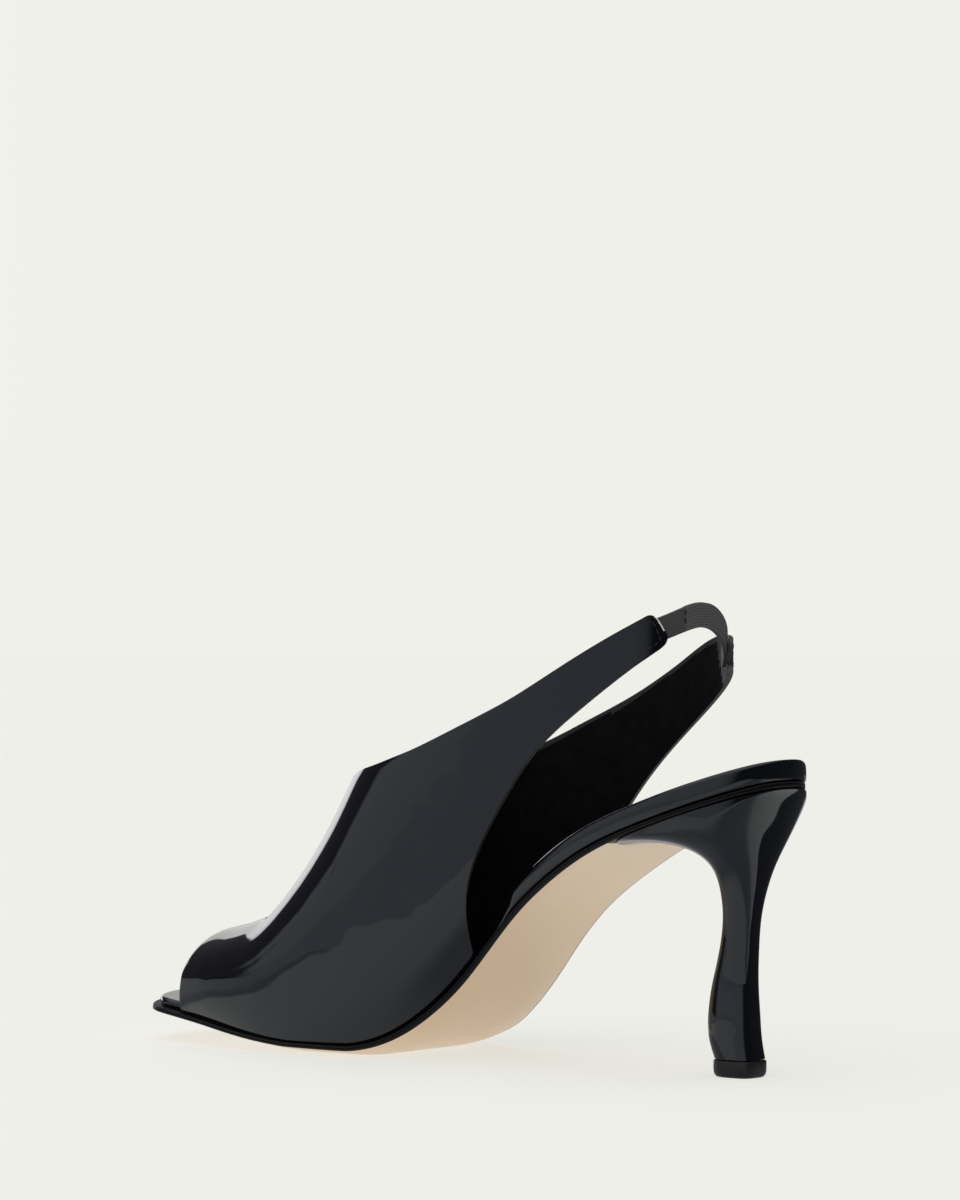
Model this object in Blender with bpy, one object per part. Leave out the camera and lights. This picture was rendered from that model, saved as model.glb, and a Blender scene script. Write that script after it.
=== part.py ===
"""Slingback sandal for the left foot, with a peep toe and a sculpted heel.

The shoe stands on the floor plane z = 0, toe towards -Y, heel towards +Y, the
wearer's left (outer) side towards +X. Every piece is worked out along the
length of the sole, from the toe tip (0) to the back of the seat, and the whole
shoe is centred over the origin at the end.
"""
import math

import bmesh
import bpy
import numpy as np

# Sizes of the sole
SOLE_LENGTH = 0.2245
TOE_WIDTH = 0.0500
BALL_WIDTH = 0.0665
WAIST_WIDTH = 0.0440
SEAT_WIDTH = 0.0505
SEAT_HEIGHT = 0.0810
TOE_SPRING = 0.0085
TOE_APEX = -0.0060
TOE_CORNER_LATERAL = 0.0130
TOE_CORNER_MEDIAL = 0.0090
SEAT_ROUNDING = 0.0260
CORNER_POWER = 2.4

# Thicknesses and margins
OUTSOLE_THICKNESS = 0.0036
EDGE_LIFT = 0.0022
FLAT_SHARE = 0.42
INSOLE_THICKNESS = 0.0052
UPPER_WALL = 0.0013
SOLE_LIP = 0.0012
OUTSOLE_RECESS = 0.0008
INSOLE_SETBACK = 0.0016
GAP = 0.0003

# Sizes of the upper
STRAP_HEIGHT = 0.1300
INSTEP_HEIGHT = 0.0830
ANKLE_WIDTH = 0.0592
ANKLE_SETBACK = 0.0270
ANKLE_ROUNDING = 0.0475
RING_POWER = 2.8
ELASTIC_WIDTH = 0.0068
ELASTIC_THICKNESS = 0.0012
ELASTIC_OVERLAP = 0.0090

# Sizes of the heel
HEEL_TOP_LENGTH = 0.0505
HEEL_WAIST_LENGTH = 0.0104
HEEL_WAIST_WIDTH = 0.0093
TIP_LENGTH = 0.0139
TIP_WIDTH = 0.0112
TIP_THICKNESS = 0.0048
TIP_OVERHANG = 0.0003

# Mesh density
SOLE_STATIONS = 54
SOLE_COLUMNS = 10
UPPER_ROWS = 26
UPPER_COLUMNS = 14
HEEL_POINTS = 40
ELASTIC_STEPS = 26

# Centre line of the outsole's underside, toe to seat
SOLE_LINE = (
    # along, share of TOE_SPRING, share of SEAT_HEIGHT
    (0.000, 1.00, 0.000),
    (0.070, 0.74, 0.000),
    (0.140, 0.48, 0.000),
    (0.210, 0.22, 0.000),
    (0.280, 0.04, 0.000),
    (0.330, -0.03, 0.000),
    (0.385, -0.03, 0.000),
    (0.430, 0.00, 0.014),
    (0.470, 0.00, 0.060),
    (0.515, 0.00, 0.150),
    (0.560, 0.00, 0.270),
    (0.600, 0.00, 0.397),
    (0.645, 0.00, 0.525),
    (0.695, 0.00, 0.632),
    (0.770, 0.00, 0.758),
    (0.855, 0.00, 0.855),
    (0.940, 0.00, 0.937),
    (1.000, 0.00, 1.000),
)

# Plan outline of the sole, before its toe and seat are rounded
OUTLINE = (
    # along, size that the row follows, lateral share, medial share
    (0.000, TOE_WIDTH, 0.360, 0.370),
    (0.050, TOE_WIDTH, 0.420, 0.440),
    (0.120, TOE_WIDTH, 0.485, 0.515),
    (0.225, BALL_WIDTH, 0.440, 0.472),
    (0.310, BALL_WIDTH, 0.472, 0.525),
    (0.390, BALL_WIDTH, 0.452, 0.528),
    (0.500, WAIST_WIDTH, 0.510, 0.672),
    (0.600, WAIST_WIDTH, 0.442, 0.558),
    (0.710, SEAT_WIDTH, 0.462, 0.505),
    (0.810, SEAT_WIDTH, 0.498, 0.508),
    (0.920, SEAT_WIDTH, 0.488, 0.488),
    (1.000, SEAT_WIDTH, 0.450, 0.450),
)

# How the layers of the sole change along it
LAYERS = (
    # along, outsole thickness, edge lift, insole thickness (shares of their named sizes)
    (0.000, 0.78, 0.55, 0.42),
    (0.150, 0.95, 0.95, 0.42),
    (0.350, 1.00, 1.00, 0.44),
    (0.480, 0.92, 0.80, 0.52),
    (0.600, 0.72, 0.48, 0.76),
    (0.720, 0.58, 0.24, 0.96),
    (0.850, 0.52, 0.14, 1.05),
    (1.000, 0.52, 0.12, 1.17),
)

# Last's girth: how wide and how high the upper's sections are
GIRTH = (
    # along, width that the row follows, its lateral and medial shares,
    # widest level and crest (of INSTEP_HEIGHT), power of the section's shoulders
    (0.050, TOE_WIDTH, 0.386, 0.419, 0.215, 0.330, 2.0),
    (0.095, TOE_WIDTH, 0.459, 0.495, 0.225, 0.384, 2.0),
    (0.150, BALL_WIDTH, 0.402, 0.425, 0.232, 0.420, 2.1),
    (0.200, BALL_WIDTH, 0.437, 0.462, 0.235, 0.460, 2.3),
    (0.240, BALL_WIDTH, 0.457, 0.488, 0.238, 0.508, 2.6),
    (0.280, BALL_WIDTH, 0.469, 0.507, 0.245, 0.612, 2.8),
    (0.320, BALL_WIDTH, 0.476, 0.518, 0.260, 0.757, 2.8),
    (0.360, BALL_WIDTH, 0.478, 0.520, 0.290, 0.935, 2.8),
    (0.420, BALL_WIDTH, 0.478, 0.512, 0.360, 1.240, 2.8),
    (0.500, BALL_WIDTH, 0.472, 0.495, 0.480, 1.570, 2.8),
    (0.600, ANKLE_WIDTH, 0.517, 0.526, 0.700, 2.080, 2.8),
    (0.700, ANKLE_WIDTH, 0.503, 0.500, 0.950, 2.650, 2.8),
    (0.850, ANKLE_WIDTH, 0.500, 0.494, 1.200, 3.350, 2.8),
    (1.000, ANKLE_WIDTH, 0.500, 0.494, 1.300, 3.650, 2.8),
)

# Throat, from its centre out to where the wings begin
THROAT = (
    # row, along the last, share of the way down the section
    (0.00, 0.358, 0.00),
    (0.06, 0.361, 0.17),
    (0.12, 0.375, 0.31),
)

# Top line of each wing and strap, from the throat back to the strap's end
TOP_LATERAL = (
    # row, along the last, share of STRAP_HEIGHT
    (0.18, 0.385, 0.619),
    (0.24, 0.400, 0.626),
    (0.32, 0.435, 0.645),
    (0.40, 0.480, 0.669),
    (0.55, 0.575, 0.732),
    (0.68, 0.665, 0.801),
    (0.80, 0.742, 0.875),
    (0.90, 0.805, 0.940),
    (1.00, 0.870, 0.994),
)
TOP_MEDIAL = (
    # row, along the last, share of STRAP_HEIGHT
    (0.18, 0.385, 0.618),
    (0.24, 0.400, 0.625),
    (0.32, 0.435, 0.642),
    (0.40, 0.480, 0.664),
    (0.55, 0.575, 0.728),
    (0.68, 0.665, 0.797),
    (0.80, 0.742, 0.872),
    (0.90, 0.806, 0.930),
    (1.00, 0.892, 0.925),
)

# Rear edge of each wing and lower edge of its strap, from the sole up
REAR_LATERAL = (
    # row, along the last, share of STRAP_HEIGHT
    (0.56, 0.5730, 0.205),
    (0.61, 0.5860, 0.300),
    (0.68, 0.6110, 0.440),
    (0.75, 0.6510, 0.565),
    (0.82, 0.7060, 0.690),
    (0.88, 0.7650, 0.780),
    (0.94, 0.8280, 0.863),
    (1.00, 0.9000, 0.932),
)
REAR_MEDIAL = (
    # row, along the last, share of STRAP_HEIGHT
    (0.56, 0.5720, 0.205),
    (0.61, 0.5820, 0.300),
    (0.68, 0.6110, 0.430),
    (0.75, 0.6560, 0.550),
    (0.82, 0.7130, 0.660),
    (0.88, 0.7730, 0.752),
    (0.94, 0.8390, 0.830),
    (1.00, 0.9150, 0.880),
)
FEATHER_ROW = 0.56
TOE_ROW = 0.20

# Edge of the toe opening, from its top to the sole
TOE_OPENING = (
    # row, along the last, share of the way down the section
    (0.00, 0.112, 0.00),
    (0.05, 0.112, 0.24),
    (0.10, 0.108, 0.49),
    (0.15, 0.099, 0.74),
    (0.20, 0.094, 1.00),
)

# Centre line of the elastic, lateral strap to medial strap round the back
ELASTIC_LINE = (
    # way round, share of STRAP_HEIGHT
    (0.00, 0.935),
    (0.22, 0.964),
    (0.45, 0.985),
    (0.62, 0.982),
    (0.80, 0.950),
    (1.00, 0.895),
)

# The heel in rings, from its top under the seat down to the tip
HEEL_RINGS = (
    # level, set-in of the back (of HEEL_TOP_LENGTH), length and its share, width and its half share,
    # share of the way up to the sole at the front and back, power of the front and back corners
    (0.00, 0.000, HEEL_TOP_LENGTH, 0.905, SEAT_WIDTH, 0.495, 1.000, 1.000, 5.0, 2.4),
    (0.07, 0.022, HEEL_TOP_LENGTH, 0.838, SEAT_WIDTH, 0.482, 0.990, 0.984, 4.4, 2.4),
    (0.15, 0.051, HEEL_TOP_LENGTH, 0.705, SEAT_WIDTH, 0.462, 0.962, 0.952, 3.6, 2.4),
    (0.24, 0.093, HEEL_TOP_LENGTH, 0.511, SEAT_WIDTH, 0.400, 0.915, 0.893, 3.0, 2.4),
    (0.33, 0.129, HEEL_TOP_LENGTH, 0.356, SEAT_WIDTH, 0.305, 0.856, 0.824, 2.7, 2.5),
    (0.42, 0.160, HEEL_TOP_LENGTH, 0.265, SEAT_WIDTH, 0.200, 0.779, 0.741, 2.5, 2.7),
    (0.51, 0.188, HEEL_WAIST_LENGTH, 1.058, HEEL_WAIST_WIDTH, 0.733, 0.680, 0.650, 2.4, 2.8),
    (0.60, 0.210, HEEL_WAIST_LENGTH, 0.962, HEEL_WAIST_WIDTH, 0.532, 0.578, 0.549, 2.4, 3.0),
    (0.70, 0.224, HEEL_WAIST_LENGTH, 1.019, HEEL_WAIST_WIDTH, 0.500, 0.449, 0.425, 2.4, 3.2),
    (0.80, 0.228, HEEL_WAIST_LENGTH, 1.260, HEEL_WAIST_WIDTH, 0.521, 0.305, 0.286, 2.3, 3.4),
    (0.88, 0.220, TIP_LENGTH, 1.072, TIP_WIDTH, 0.469, 0.179, 0.166, 2.2, 3.5),
    (0.95, 0.210, TIP_LENGTH, 1.072, TIP_WIDTH, 0.491, 0.074, 0.068, 2.2, 3.6),
    (1.00, 0.192, TIP_LENGTH, 1.000, TIP_WIDTH, 0.500, 0.000, 0.000, 2.2, 3.6),
)


def spline(table, column):
    """Natural cubic curve through one column of a table, over its first column."""
    x = np.array([row[0] for row in table], dtype=float)
    y = np.array([row[column] for row in table], dtype=float)
    steps = np.diff(x)
    count = len(x)
    system = np.eye(count)
    right = np.zeros(count)
    for i in range(1, count - 1):
        system[i, i - 1] = steps[i - 1]
        system[i, i] = 2.0 * (steps[i - 1] + steps[i])
        system[i, i + 1] = steps[i]
        right[i] = 6.0 * ((y[i + 1] - y[i]) / steps[i] - (y[i] - y[i - 1]) / steps[i - 1])
    bend = np.linalg.solve(system, right)

    def curve(at):
        at = np.clip(np.asarray(at, dtype=float), x[0], x[-1])
        i = np.clip(np.searchsorted(x, at) - 1, 0, count - 2)
        step = steps[i]
        after = (at - x[i]) / step
        before = 1.0 - after
        return (before * y[i] + after * y[i + 1]
                + ((before ** 3 - before) * bend[i] + (after ** 3 - after) * bend[i + 1]) * step ** 2 / 6.0)

    return curve


def in_metres(table, sizes):
    """Rows with their first column times the sole's length and the others times their sizes."""
    return [(row[0] * SOLE_LENGTH,) + tuple(share * size for share, size in zip(row[1:], sizes))
            for row in table]


def following_sizes(table):
    """Rows whose third and fourth columns are shares of the size in their second."""
    return [(row[0] * SOLE_LENGTH, row[1] * row[2], row[1] * row[3]) + tuple(row[4:]) for row in table]


RING_BACK = SOLE_LENGTH - ANKLE_SETBACK
RING_START = RING_BACK - ANKLE_ROUNDING
TIP_TOP = TIP_THICKNESS + GAP
LINE_ROWS = [(along * SOLE_LENGTH, spring * TOE_SPRING + rise * SEAT_HEIGHT)
             for along, spring, rise in SOLE_LINE]
LAYER_ROWS = in_metres(LAYERS, (OUTSOLE_THICKNESS, EDGE_LIFT, INSOLE_THICKNESS))
OUTLINE_ROWS = following_sizes(OUTLINE)
GIRTH_ROWS = following_sizes(GIRTH)

line_height = spline(LINE_ROWS, 1)
outline_lateral = spline(OUTLINE_ROWS, 1)
outline_medial = spline(OUTLINE_ROWS, 2)
outsole_thickness = spline(LAYER_ROWS, 1)
edge_lift = spline(LAYER_ROWS, 2)
insole_thickness = spline(LAYER_ROWS, 3)
girth_lateral = spline(GIRTH_ROWS, 1)
girth_medial = spline(GIRTH_ROWS, 2)
level_share = spline(GIRTH_ROWS, 3)
crest_share = spline(GIRTH_ROWS, 4)
shoulder_power = spline(GIRTH_ROWS, 5)


def girth_level(y):
    """Height at which the upper is widest."""
    return INSTEP_HEIGHT * level_share(y)


def girth_crest(y):
    """Height of the section's crest, which lies in the open air behind the throat."""
    return INSTEP_HEIGHT * crest_share(y)


def smooth_step(at, low, high):
    """0 below low, 1 above high, and a soft step between."""
    share = np.clip((at - low) / (high - low), 0.0, 1.0)
    return share * share * (3.0 - 2.0 * share)


def end_rounding(distance, length):
    """Share of the full width at a distance from an end that is rounded over a length."""
    away = 1.0 - np.clip(distance / length, 0.004, 1.0)
    return (1.0 - away ** CORNER_POWER) ** (1.0 / CORNER_POWER)


def outline(y, side, inset, front, back):
    """Edge of a sole layer at y: lateral (side 1) or medial (side -1), set in by a margin."""
    width = outline_lateral(y) if side > 0 else outline_medial(y)
    corner = TOE_CORNER_LATERAL if side > 0 else TOE_CORNER_MEDIAL
    apex = TOE_APEX * side
    toe = end_rounding(y - front, corner)
    seat = end_rounding(SOLE_LENGTH - back - y, SEAT_ROUNDING)
    return side * (apex + (width - inset - apex) * toe) * seat


def sole_point(y, rise):
    """Centre-line point a given rise above the underside, square to it but upright at the seat."""
    step = 0.0005
    slope = (line_height(y + step) - line_height(y - step)) / (2.0 * step)
    slope = slope * (1.0 - smooth_step(y, 0.86 * SOLE_LENGTH, SOLE_LENGTH))
    length = np.sqrt(1.0 + slope ** 2)
    return y - rise * slope / length, np.maximum(line_height(y), 0.0) + rise / length


def sole_lift(y, share):
    """How far the underside's edges curl up, at a share of the half-width."""
    beyond = np.maximum(0.0, (np.abs(share) - FLAT_SHARE) / (1.0 - FLAT_SHARE))
    return edge_lift(y) * beyond ** 2.3


def outsole_inset(y):
    """The outsole is flush at the forefoot and recessed under the seat."""
    return OUTSOLE_RECESS * smooth_step(y, 0.55 * SOLE_LENGTH, 0.75 * SOLE_LENGTH)


def insole_inset(y):
    """The footbed lies inside the upper as far as its wings reach, then comes out flush."""
    inside = SOLE_LIP + UPPER_WALL + 1.7 * GAP
    margin = INSOLE_SETBACK + (inside - INSOLE_SETBACK) * smooth_step(y, 0.03 * SOLE_LENGTH, 0.08 * SOLE_LENGTH)
    return margin * (1.0 - smooth_step(y, 0.605 * SOLE_LENGTH, 0.66 * SOLE_LENGTH))


def stations(count, first, last):
    """Places along the sole, closer together at both ends."""
    spread = 0.5 - 0.5 * np.cos(np.linspace(0.0, math.pi, count))
    even = np.linspace(0.0, 1.0, count)
    return first + (last - first) * (0.6 * even + 0.4 * spread)


def sole_grid(y, rise, inset, front, back, columns, lifted):
    """Grid of points across a sole layer at every station."""
    shares = np.linspace(-1.0, 1.0, columns + 1)
    grid = np.zeros((len(y), columns + 1, 3))
    along, height = sole_point(y, rise)
    lateral = outline(y, 1, inset, front, back)
    medial = outline(y, -1, inset, front, back)
    middle = (lateral + medial) / 2.0
    half = (lateral - medial) / 2.0
    for j, share in enumerate(shares):
        grid[:, j, 0] = middle + half * share
        grid[:, j, 1] = along
        grid[:, j, 2] = height + (sole_lift(y, share) if lifted else 0.0)
    return grid


def superellipse(angle, power):
    """Point on a unit superellipse at an angle, first along its width, then its height."""
    across = np.maximum(np.cos(angle), 0.0)
    up = np.maximum(np.sin(angle), 0.0)
    reach = (across ** power + up ** power) ** (1.0 / power)
    return across / reach, up / reach


def top_station(y):
    """Station of the sole whose point on the outsole's top lies at y."""
    place = np.asarray(y, dtype=float)
    for _ in range(8):
        along, _ = sole_point(place, outsole_thickness(place) + GAP)
        place = place + (y - along)
    return place


def feather_height(y):
    """Height of the upper's lower edge, just over the outsole."""
    place = top_station(y)
    return sole_point(place, outsole_thickness(place) + GAP)[1]


def feather_angle(y):
    """Section angle of the upper's lower edge."""
    reach = girth_crest(y) - girth_level(y)
    return -(girth_level(y) - feather_height(y)) / reach


def height_angle(y, height):
    """Section angle at which the upper has a given height."""
    rise = (height - girth_level(y)) / (girth_crest(y) - girth_level(y))
    up = np.clip(rise, 0.0, 1.0)
    across = (1.0 - up ** shoulder_power(y)) ** (1.0 / shoulder_power(y))
    return np.where(rise < 0.0, rise, np.arctan2(up, across))


def last_point(y, angle, side):
    """Point of the last's surface: y runs along it and round the ring behind the ankle."""
    level = girth_level(y)
    reach = girth_crest(y) - level
    full = girth_lateral(y) if side > 0 else girth_medial(y)
    across, up = superellipse(np.maximum(angle, 0.0), shoulder_power(y))
    foot = np.abs(outline(top_station(y), side, SOLE_LIP, 0.0, 0.0))
    below = np.clip(np.minimum(angle, 0.0) / feather_angle(y), 0.0, 1.5)
    below = np.where(feather_angle(y) < 0.0, below, 0.0)
    width = full * across - np.where(angle < 0.0, (full - foot) * below ** 2.5, 0.0)
    height = level + reach * np.where(angle < 0.0, angle, up)
    turn = np.clip((y - RING_START) / (RING_BACK - RING_START), 0.0, math.pi / 2.0)
    aside, behind = superellipse(turn, RING_POWER)
    along = np.where(y > RING_START, RING_START + (RING_BACK - RING_START) * behind, y)
    return np.stack([side * width * aside, along, height], axis=-1)


def last_normal(y, angle, side):
    """Unit normal of the last's surface, facing out."""
    step = 0.0002
    turn = 0.004
    along = last_point(y + step, angle, side) - last_point(y - step, angle, side)
    up = last_point(y, angle + turn, side) - last_point(y, angle - turn, side)
    normal = np.cross(along, up) * side
    return normal / np.linalg.norm(normal, axis=-1, keepdims=True)


def upper_side(side, rows, columns):
    """Outer points and normals of one half of the upper, from the centre line to the strap's end."""
    top_table = TOP_LATERAL if side > 0 else TOP_MEDIAL
    rear_table = REAR_LATERAL if side > 0 else REAR_MEDIAL
    rear_start = rear_table[0][1] * SOLE_LENGTH
    top_rows = [(row, along * SOLE_LENGTH, math.pi / 2.0 * (1.0 - share)) for row, along, share in THROAT]
    for row, along, height in top_table:
        y = along * SOLE_LENGTH
        top_rows.append((row, y, float(height_angle(y, height * STRAP_HEIGHT))))
    rear_rows = []
    for row, along, height in rear_table:
        y = along * SOLE_LENGTH
        angle = float(height_angle(y, height * STRAP_HEIGHT))
        rear_rows.append((row, y, max(angle, float(feather_angle(y)))))
    opening_rows = [(row, along * SOLE_LENGTH, share) for row, along, share in TOE_OPENING]
    top_along = spline(top_rows, 1)
    top_angle = spline(top_rows, 2)
    rear_along = spline(rear_rows, 1)
    rear_angle = spline(rear_rows, 2)
    opening_along = spline(opening_rows, 1)
    opening_share = spline(opening_rows, 2)
    toe_end = float(opening_along(TOE_ROW))
    points = np.zeros((len(rows), columns + 1, 3))
    normals = np.zeros((len(rows), columns + 1, 3))
    shares = np.linspace(0.0, 1.0, columns + 1)
    for i, row in enumerate(rows):
        if row <= TOE_ROW:
            low_y = float(opening_along(row))
            low_angle = math.pi / 2.0 + float(opening_share(row)) * (float(feather_angle(low_y)) - math.pi / 2.0)
        elif row <= FEATHER_ROW:
            low_y = toe_end + (rear_start - toe_end) * (row - TOE_ROW) / (FEATHER_ROW - TOE_ROW)
            low_angle = float(feather_angle(low_y))
        else:
            low_y = float(rear_along(row))
            low_angle = float(rear_angle(row))
        y = float(top_along(row)) + (low_y - float(top_along(row))) * shares
        angle = float(top_angle(row)) + (low_angle - float(top_angle(row))) * shares
        points[i] = last_point(y, angle, side)
        normals[i] = last_normal(y, angle, side)
    return points, normals


def upper_grid(rows_each_side, columns):
    """Outer points and normals of the whole upper, lateral strap end to medial strap end."""
    toe_count = rows_each_side // 4
    feather_count = rows_each_side // 3
    rows = np.concatenate([
        np.linspace(0.0, TOE_ROW, toe_count, endpoint=False),
        np.linspace(TOE_ROW, FEATHER_ROW, feather_count, endpoint=False),
        np.linspace(FEATHER_ROW, 1.0, rows_each_side - toe_count - feather_count + 1),
    ])
    lateral, lateral_normals = upper_side(1, rows, columns)
    medial, medial_normals = upper_side(-1, rows, columns)
    points = np.concatenate([lateral[::-1], medial[1:]])
    normals = np.concatenate([lateral_normals[::-1], medial_normals[1:]])
    return points, normals


def sole_underside(x, y):
    """Height of the face that the heel meets, just under the outsole."""
    half = outline_lateral(y) if x > 0.0 else outline_medial(y)
    return float(np.maximum(line_height(y), 0.0) + sole_lift(y, x / half)) - GAP


def heel_table():
    """Rings of the heel in metres: level, back, length, half-width, two height shares and two powers."""
    return [(row[0], SOLE_LENGTH - row[1] * HEEL_TOP_LENGTH, row[2] * row[3], row[4] * row[5]) + row[6:]
            for row in HEEL_RINGS]


def heel_ring(level, count):
    """One ring of the heel's surface, at a level from its top (0) to the tip (1)."""
    table = heel_table()
    back, length, half, front_share, back_share, front_power, back_power = [
        float(spline(table, column)(level)) for column in range(1, 8)]
    points = []
    for k in range(count):
        angle = 2.0 * math.pi * k / count
        power = back_power if math.sin(angle) > 0.0 else front_power
        across = abs(math.cos(angle)) ** (2.0 / power) * math.copysign(1.0, math.cos(angle))
        behind = abs(math.sin(angle)) ** (2.0 / power) * math.copysign(1.0, math.sin(angle))
        y = back + length * (behind - 1.0) / 2.0
        x = under_seat(half * across, y)
        share = front_share + (back_share - front_share) * (y - back + length) / length
        points.append((x, y, TIP_TOP + share * (sole_underside(x, y) - TIP_TOP)))
    return points


def under_seat(x, y):
    """Place across the heel, kept inside the sole's own outline."""
    side = 1 if x > 0.0 else -1
    edge = abs(float(outline(min(y, SOLE_LENGTH), side, 0.0, 0.0, 0.0)))
    return side * min(abs(x), edge)


def material(name, colour, roughness, coat=0.0):
    """Principled material of one sub-part."""
    made = bpy.data.materials.new(name)
    made.use_nodes = True
    shader = made.node_tree.nodes["Principled BSDF"]
    shader.inputs["Base Color"].default_value = (*colour, 1.0)
    shader.inputs["Roughness"].default_value = roughness
    shader.inputs["Metallic"].default_value = 0.0
    shader.inputs["Coat Weight"].default_value = coat
    return made


def add_object(name, mesh, look):
    """Object for one sub-part, with smooth faces and sharp edges."""
    mesh.shade_smooth()
    mesh.set_sharp_from_angle(angle=math.radians(40.0))
    mesh.materials.append(look)
    made = bpy.data.objects.new(name, mesh)
    bpy.context.collection.objects.link(made)
    return made


def closed_sheet(name, top, bottom, look):
    """Solid between two grids of the same shape, closed round its edge."""
    rows, columns = top.shape[:2]
    shell = bmesh.new()
    upper = [[shell.verts.new(point) for point in line] for line in top]
    lower = [[shell.verts.new(point) for point in line] for line in bottom]
    for i in range(rows - 1):
        for j in range(columns - 1):
            shell.faces.new((upper[i][j], upper[i][j + 1], upper[i + 1][j + 1], upper[i + 1][j]))
            shell.faces.new((lower[i][j], lower[i + 1][j], lower[i + 1][j + 1], lower[i][j + 1]))
    for i in range(rows - 1):
        for j in (0, columns - 1):
            shell.faces.new((upper[i][j], upper[i + 1][j], lower[i + 1][j], lower[i][j]))
    for j in range(columns - 1):
        for i in (0, rows - 1):
            shell.faces.new((upper[i][j], lower[i][j], lower[i][j + 1], upper[i][j + 1]))
    bmesh.ops.recalc_face_normals(shell, faces=shell.faces)
    mesh = bpy.data.meshes.new(name)
    shell.to_mesh(mesh)
    shell.free()
    return add_object(name, mesh, look)


def outsole():
    """Leather outsole with edges that curl up, over the whole length."""
    y = stations(SOLE_STATIONS, 0.0, SOLE_LENGTH)
    inset = outsole_inset(y)
    low = sole_grid(y, 0.0 * y, inset, 0.0, 0.0, SOLE_COLUMNS, True)
    high = sole_grid(y, outsole_thickness(y), inset, 0.0, 0.0, SOLE_COLUMNS, False)
    return closed_sheet("outsole", high, low, material("outsole_leather", (0.68, 0.52, 0.36), 0.5))


def insole():
    """Wrapped footbed, thin under the toes and thick from the shank to the seat."""
    front = INSOLE_SETBACK
    y = stations(SOLE_STATIONS, front, SOLE_LENGTH)
    inset = insole_inset(y)
    base = outsole_thickness(y) + GAP
    low = sole_grid(y, base, inset, front, 0.0, SOLE_COLUMNS, False)
    high = sole_grid(y, base + insole_thickness(y), inset, front, 0.0, SOLE_COLUMNS, False)
    return closed_sheet("insole", high, low, material("insole_patent", (0.012, 0.012, 0.014), 0.15, 1.0))


def upper():
    """One-piece upper: vamp, two wings and two straps as one wall."""
    outer, normals = upper_grid(UPPER_ROWS, UPPER_COLUMNS)
    inner = outer - normals * UPPER_WALL
    return closed_sheet("upper", outer, inner, material("upper_patent", (0.012, 0.012, 0.014), 0.1, 1.0))


def elastic_point(way, offset_up, depth):
    """Point of the elastic: way round the back, up its width and into its thickness."""
    lateral_end = TOP_LATERAL[-1][1] * SOLE_LENGTH - ELASTIC_OVERLAP
    medial_end = TOP_MEDIAL[-1][1] * SOLE_LENGTH - ELASTIC_OVERLAP
    back = RING_START + (RING_BACK - RING_START) * math.pi / 2.0
    round_lateral = back - lateral_end
    round_medial = back - medial_end
    place = way * (round_lateral + round_medial) - round_lateral
    side = 1.0 if place < 0.0 else -1.0
    y = back - abs(place)
    height = float(spline(ELASTIC_LINE, 1)(way)) * STRAP_HEIGHT + offset_up
    angle = float(height_angle(y, height))
    point = last_point(y, angle, side)
    normal = last_normal(min(y, back - 0.001), angle, side)
    if abs(place) < 0.001:
        normal = np.array((0.0, 1.0, 0.0))
    return point - normal * depth


def elastic():
    """Elastic band that joins the two strap ends behind the ankle, stitched inside them."""
    near = UPPER_WALL + GAP
    ways = np.linspace(0.0, 1.0, ELASTIC_STEPS + 1)
    half = ELASTIC_WIDTH / 2.0
    outer = np.array([[elastic_point(way, up, near) for up in (half, 0.0, -half)] for way in ways])
    inner = np.array([[elastic_point(way, up, near + ELASTIC_THICKNESS) for up in (half, 0.0, -half)]
                      for way in ways])
    return closed_sheet("elastic", outer, inner, material("elastic_black", (0.02, 0.02, 0.022), 0.7))


def heel():
    """Sculpted heel: a lip under the seat, a curved breast, a narrow waist and a flared foot."""
    levels = [row[0] for row in HEEL_RINGS]
    fine = sorted(set(levels + [(a + b) / 2.0 for a, b in zip(levels[1:], levels[2:])]))
    shell = bmesh.new()
    rings = []
    for level in fine:
        rings.append([shell.verts.new(point) for point in heel_ring(level, HEEL_POINTS)])
    for upper_ring, lower_ring in zip(rings, rings[1:]):
        for k in range(HEEL_POINTS):
            after = (k + 1) % HEEL_POINTS
            shell.faces.new((upper_ring[k], upper_ring[after], lower_ring[after], lower_ring[k]))
    quarter = HEEL_POINTS // 4
    columns = 4
    top = rings[0]
    previous = None
    for k in range(-quarter, quarter + 1):
        right = top[k % HEEL_POINTS]
        left = top[(HEEL_POINTS // 2 - k) % HEEL_POINTS]
        if right is left:
            strip = [right]
        else:
            strip = [right]
            for j in range(1, columns):
                spot = right.co.lerp(left.co, j / columns)
                strip.append(shell.verts.new((spot.x, spot.y, sole_underside(spot.x, spot.y))))
            strip.append(left)
        if previous is not None:
            fill_between(shell, previous, strip)
        previous = strip
    shell.faces.new(rings[-1])
    bmesh.ops.recalc_face_normals(shell, faces=shell.faces)
    mesh = bpy.data.meshes.new("heel")
    shell.to_mesh(mesh)
    shell.free()
    return add_object("heel", mesh, material("heel_patent", (0.012, 0.012, 0.014), 0.1, 1.0))


def fill_between(shell, first, second):
    """Faces between two strips of points, either of which may be a single point."""
    if len(first) == 1:
        for a, b in zip(second, second[1:]):
            shell.faces.new((first[0], a, b))
    elif len(second) == 1:
        for a, b in zip(first, first[1:]):
            shell.faces.new((second[0], a, b))
    else:
        for a, b, c, d in zip(first, first[1:], second[1:], second):
            shell.faces.new((a, b, c, d))


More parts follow.
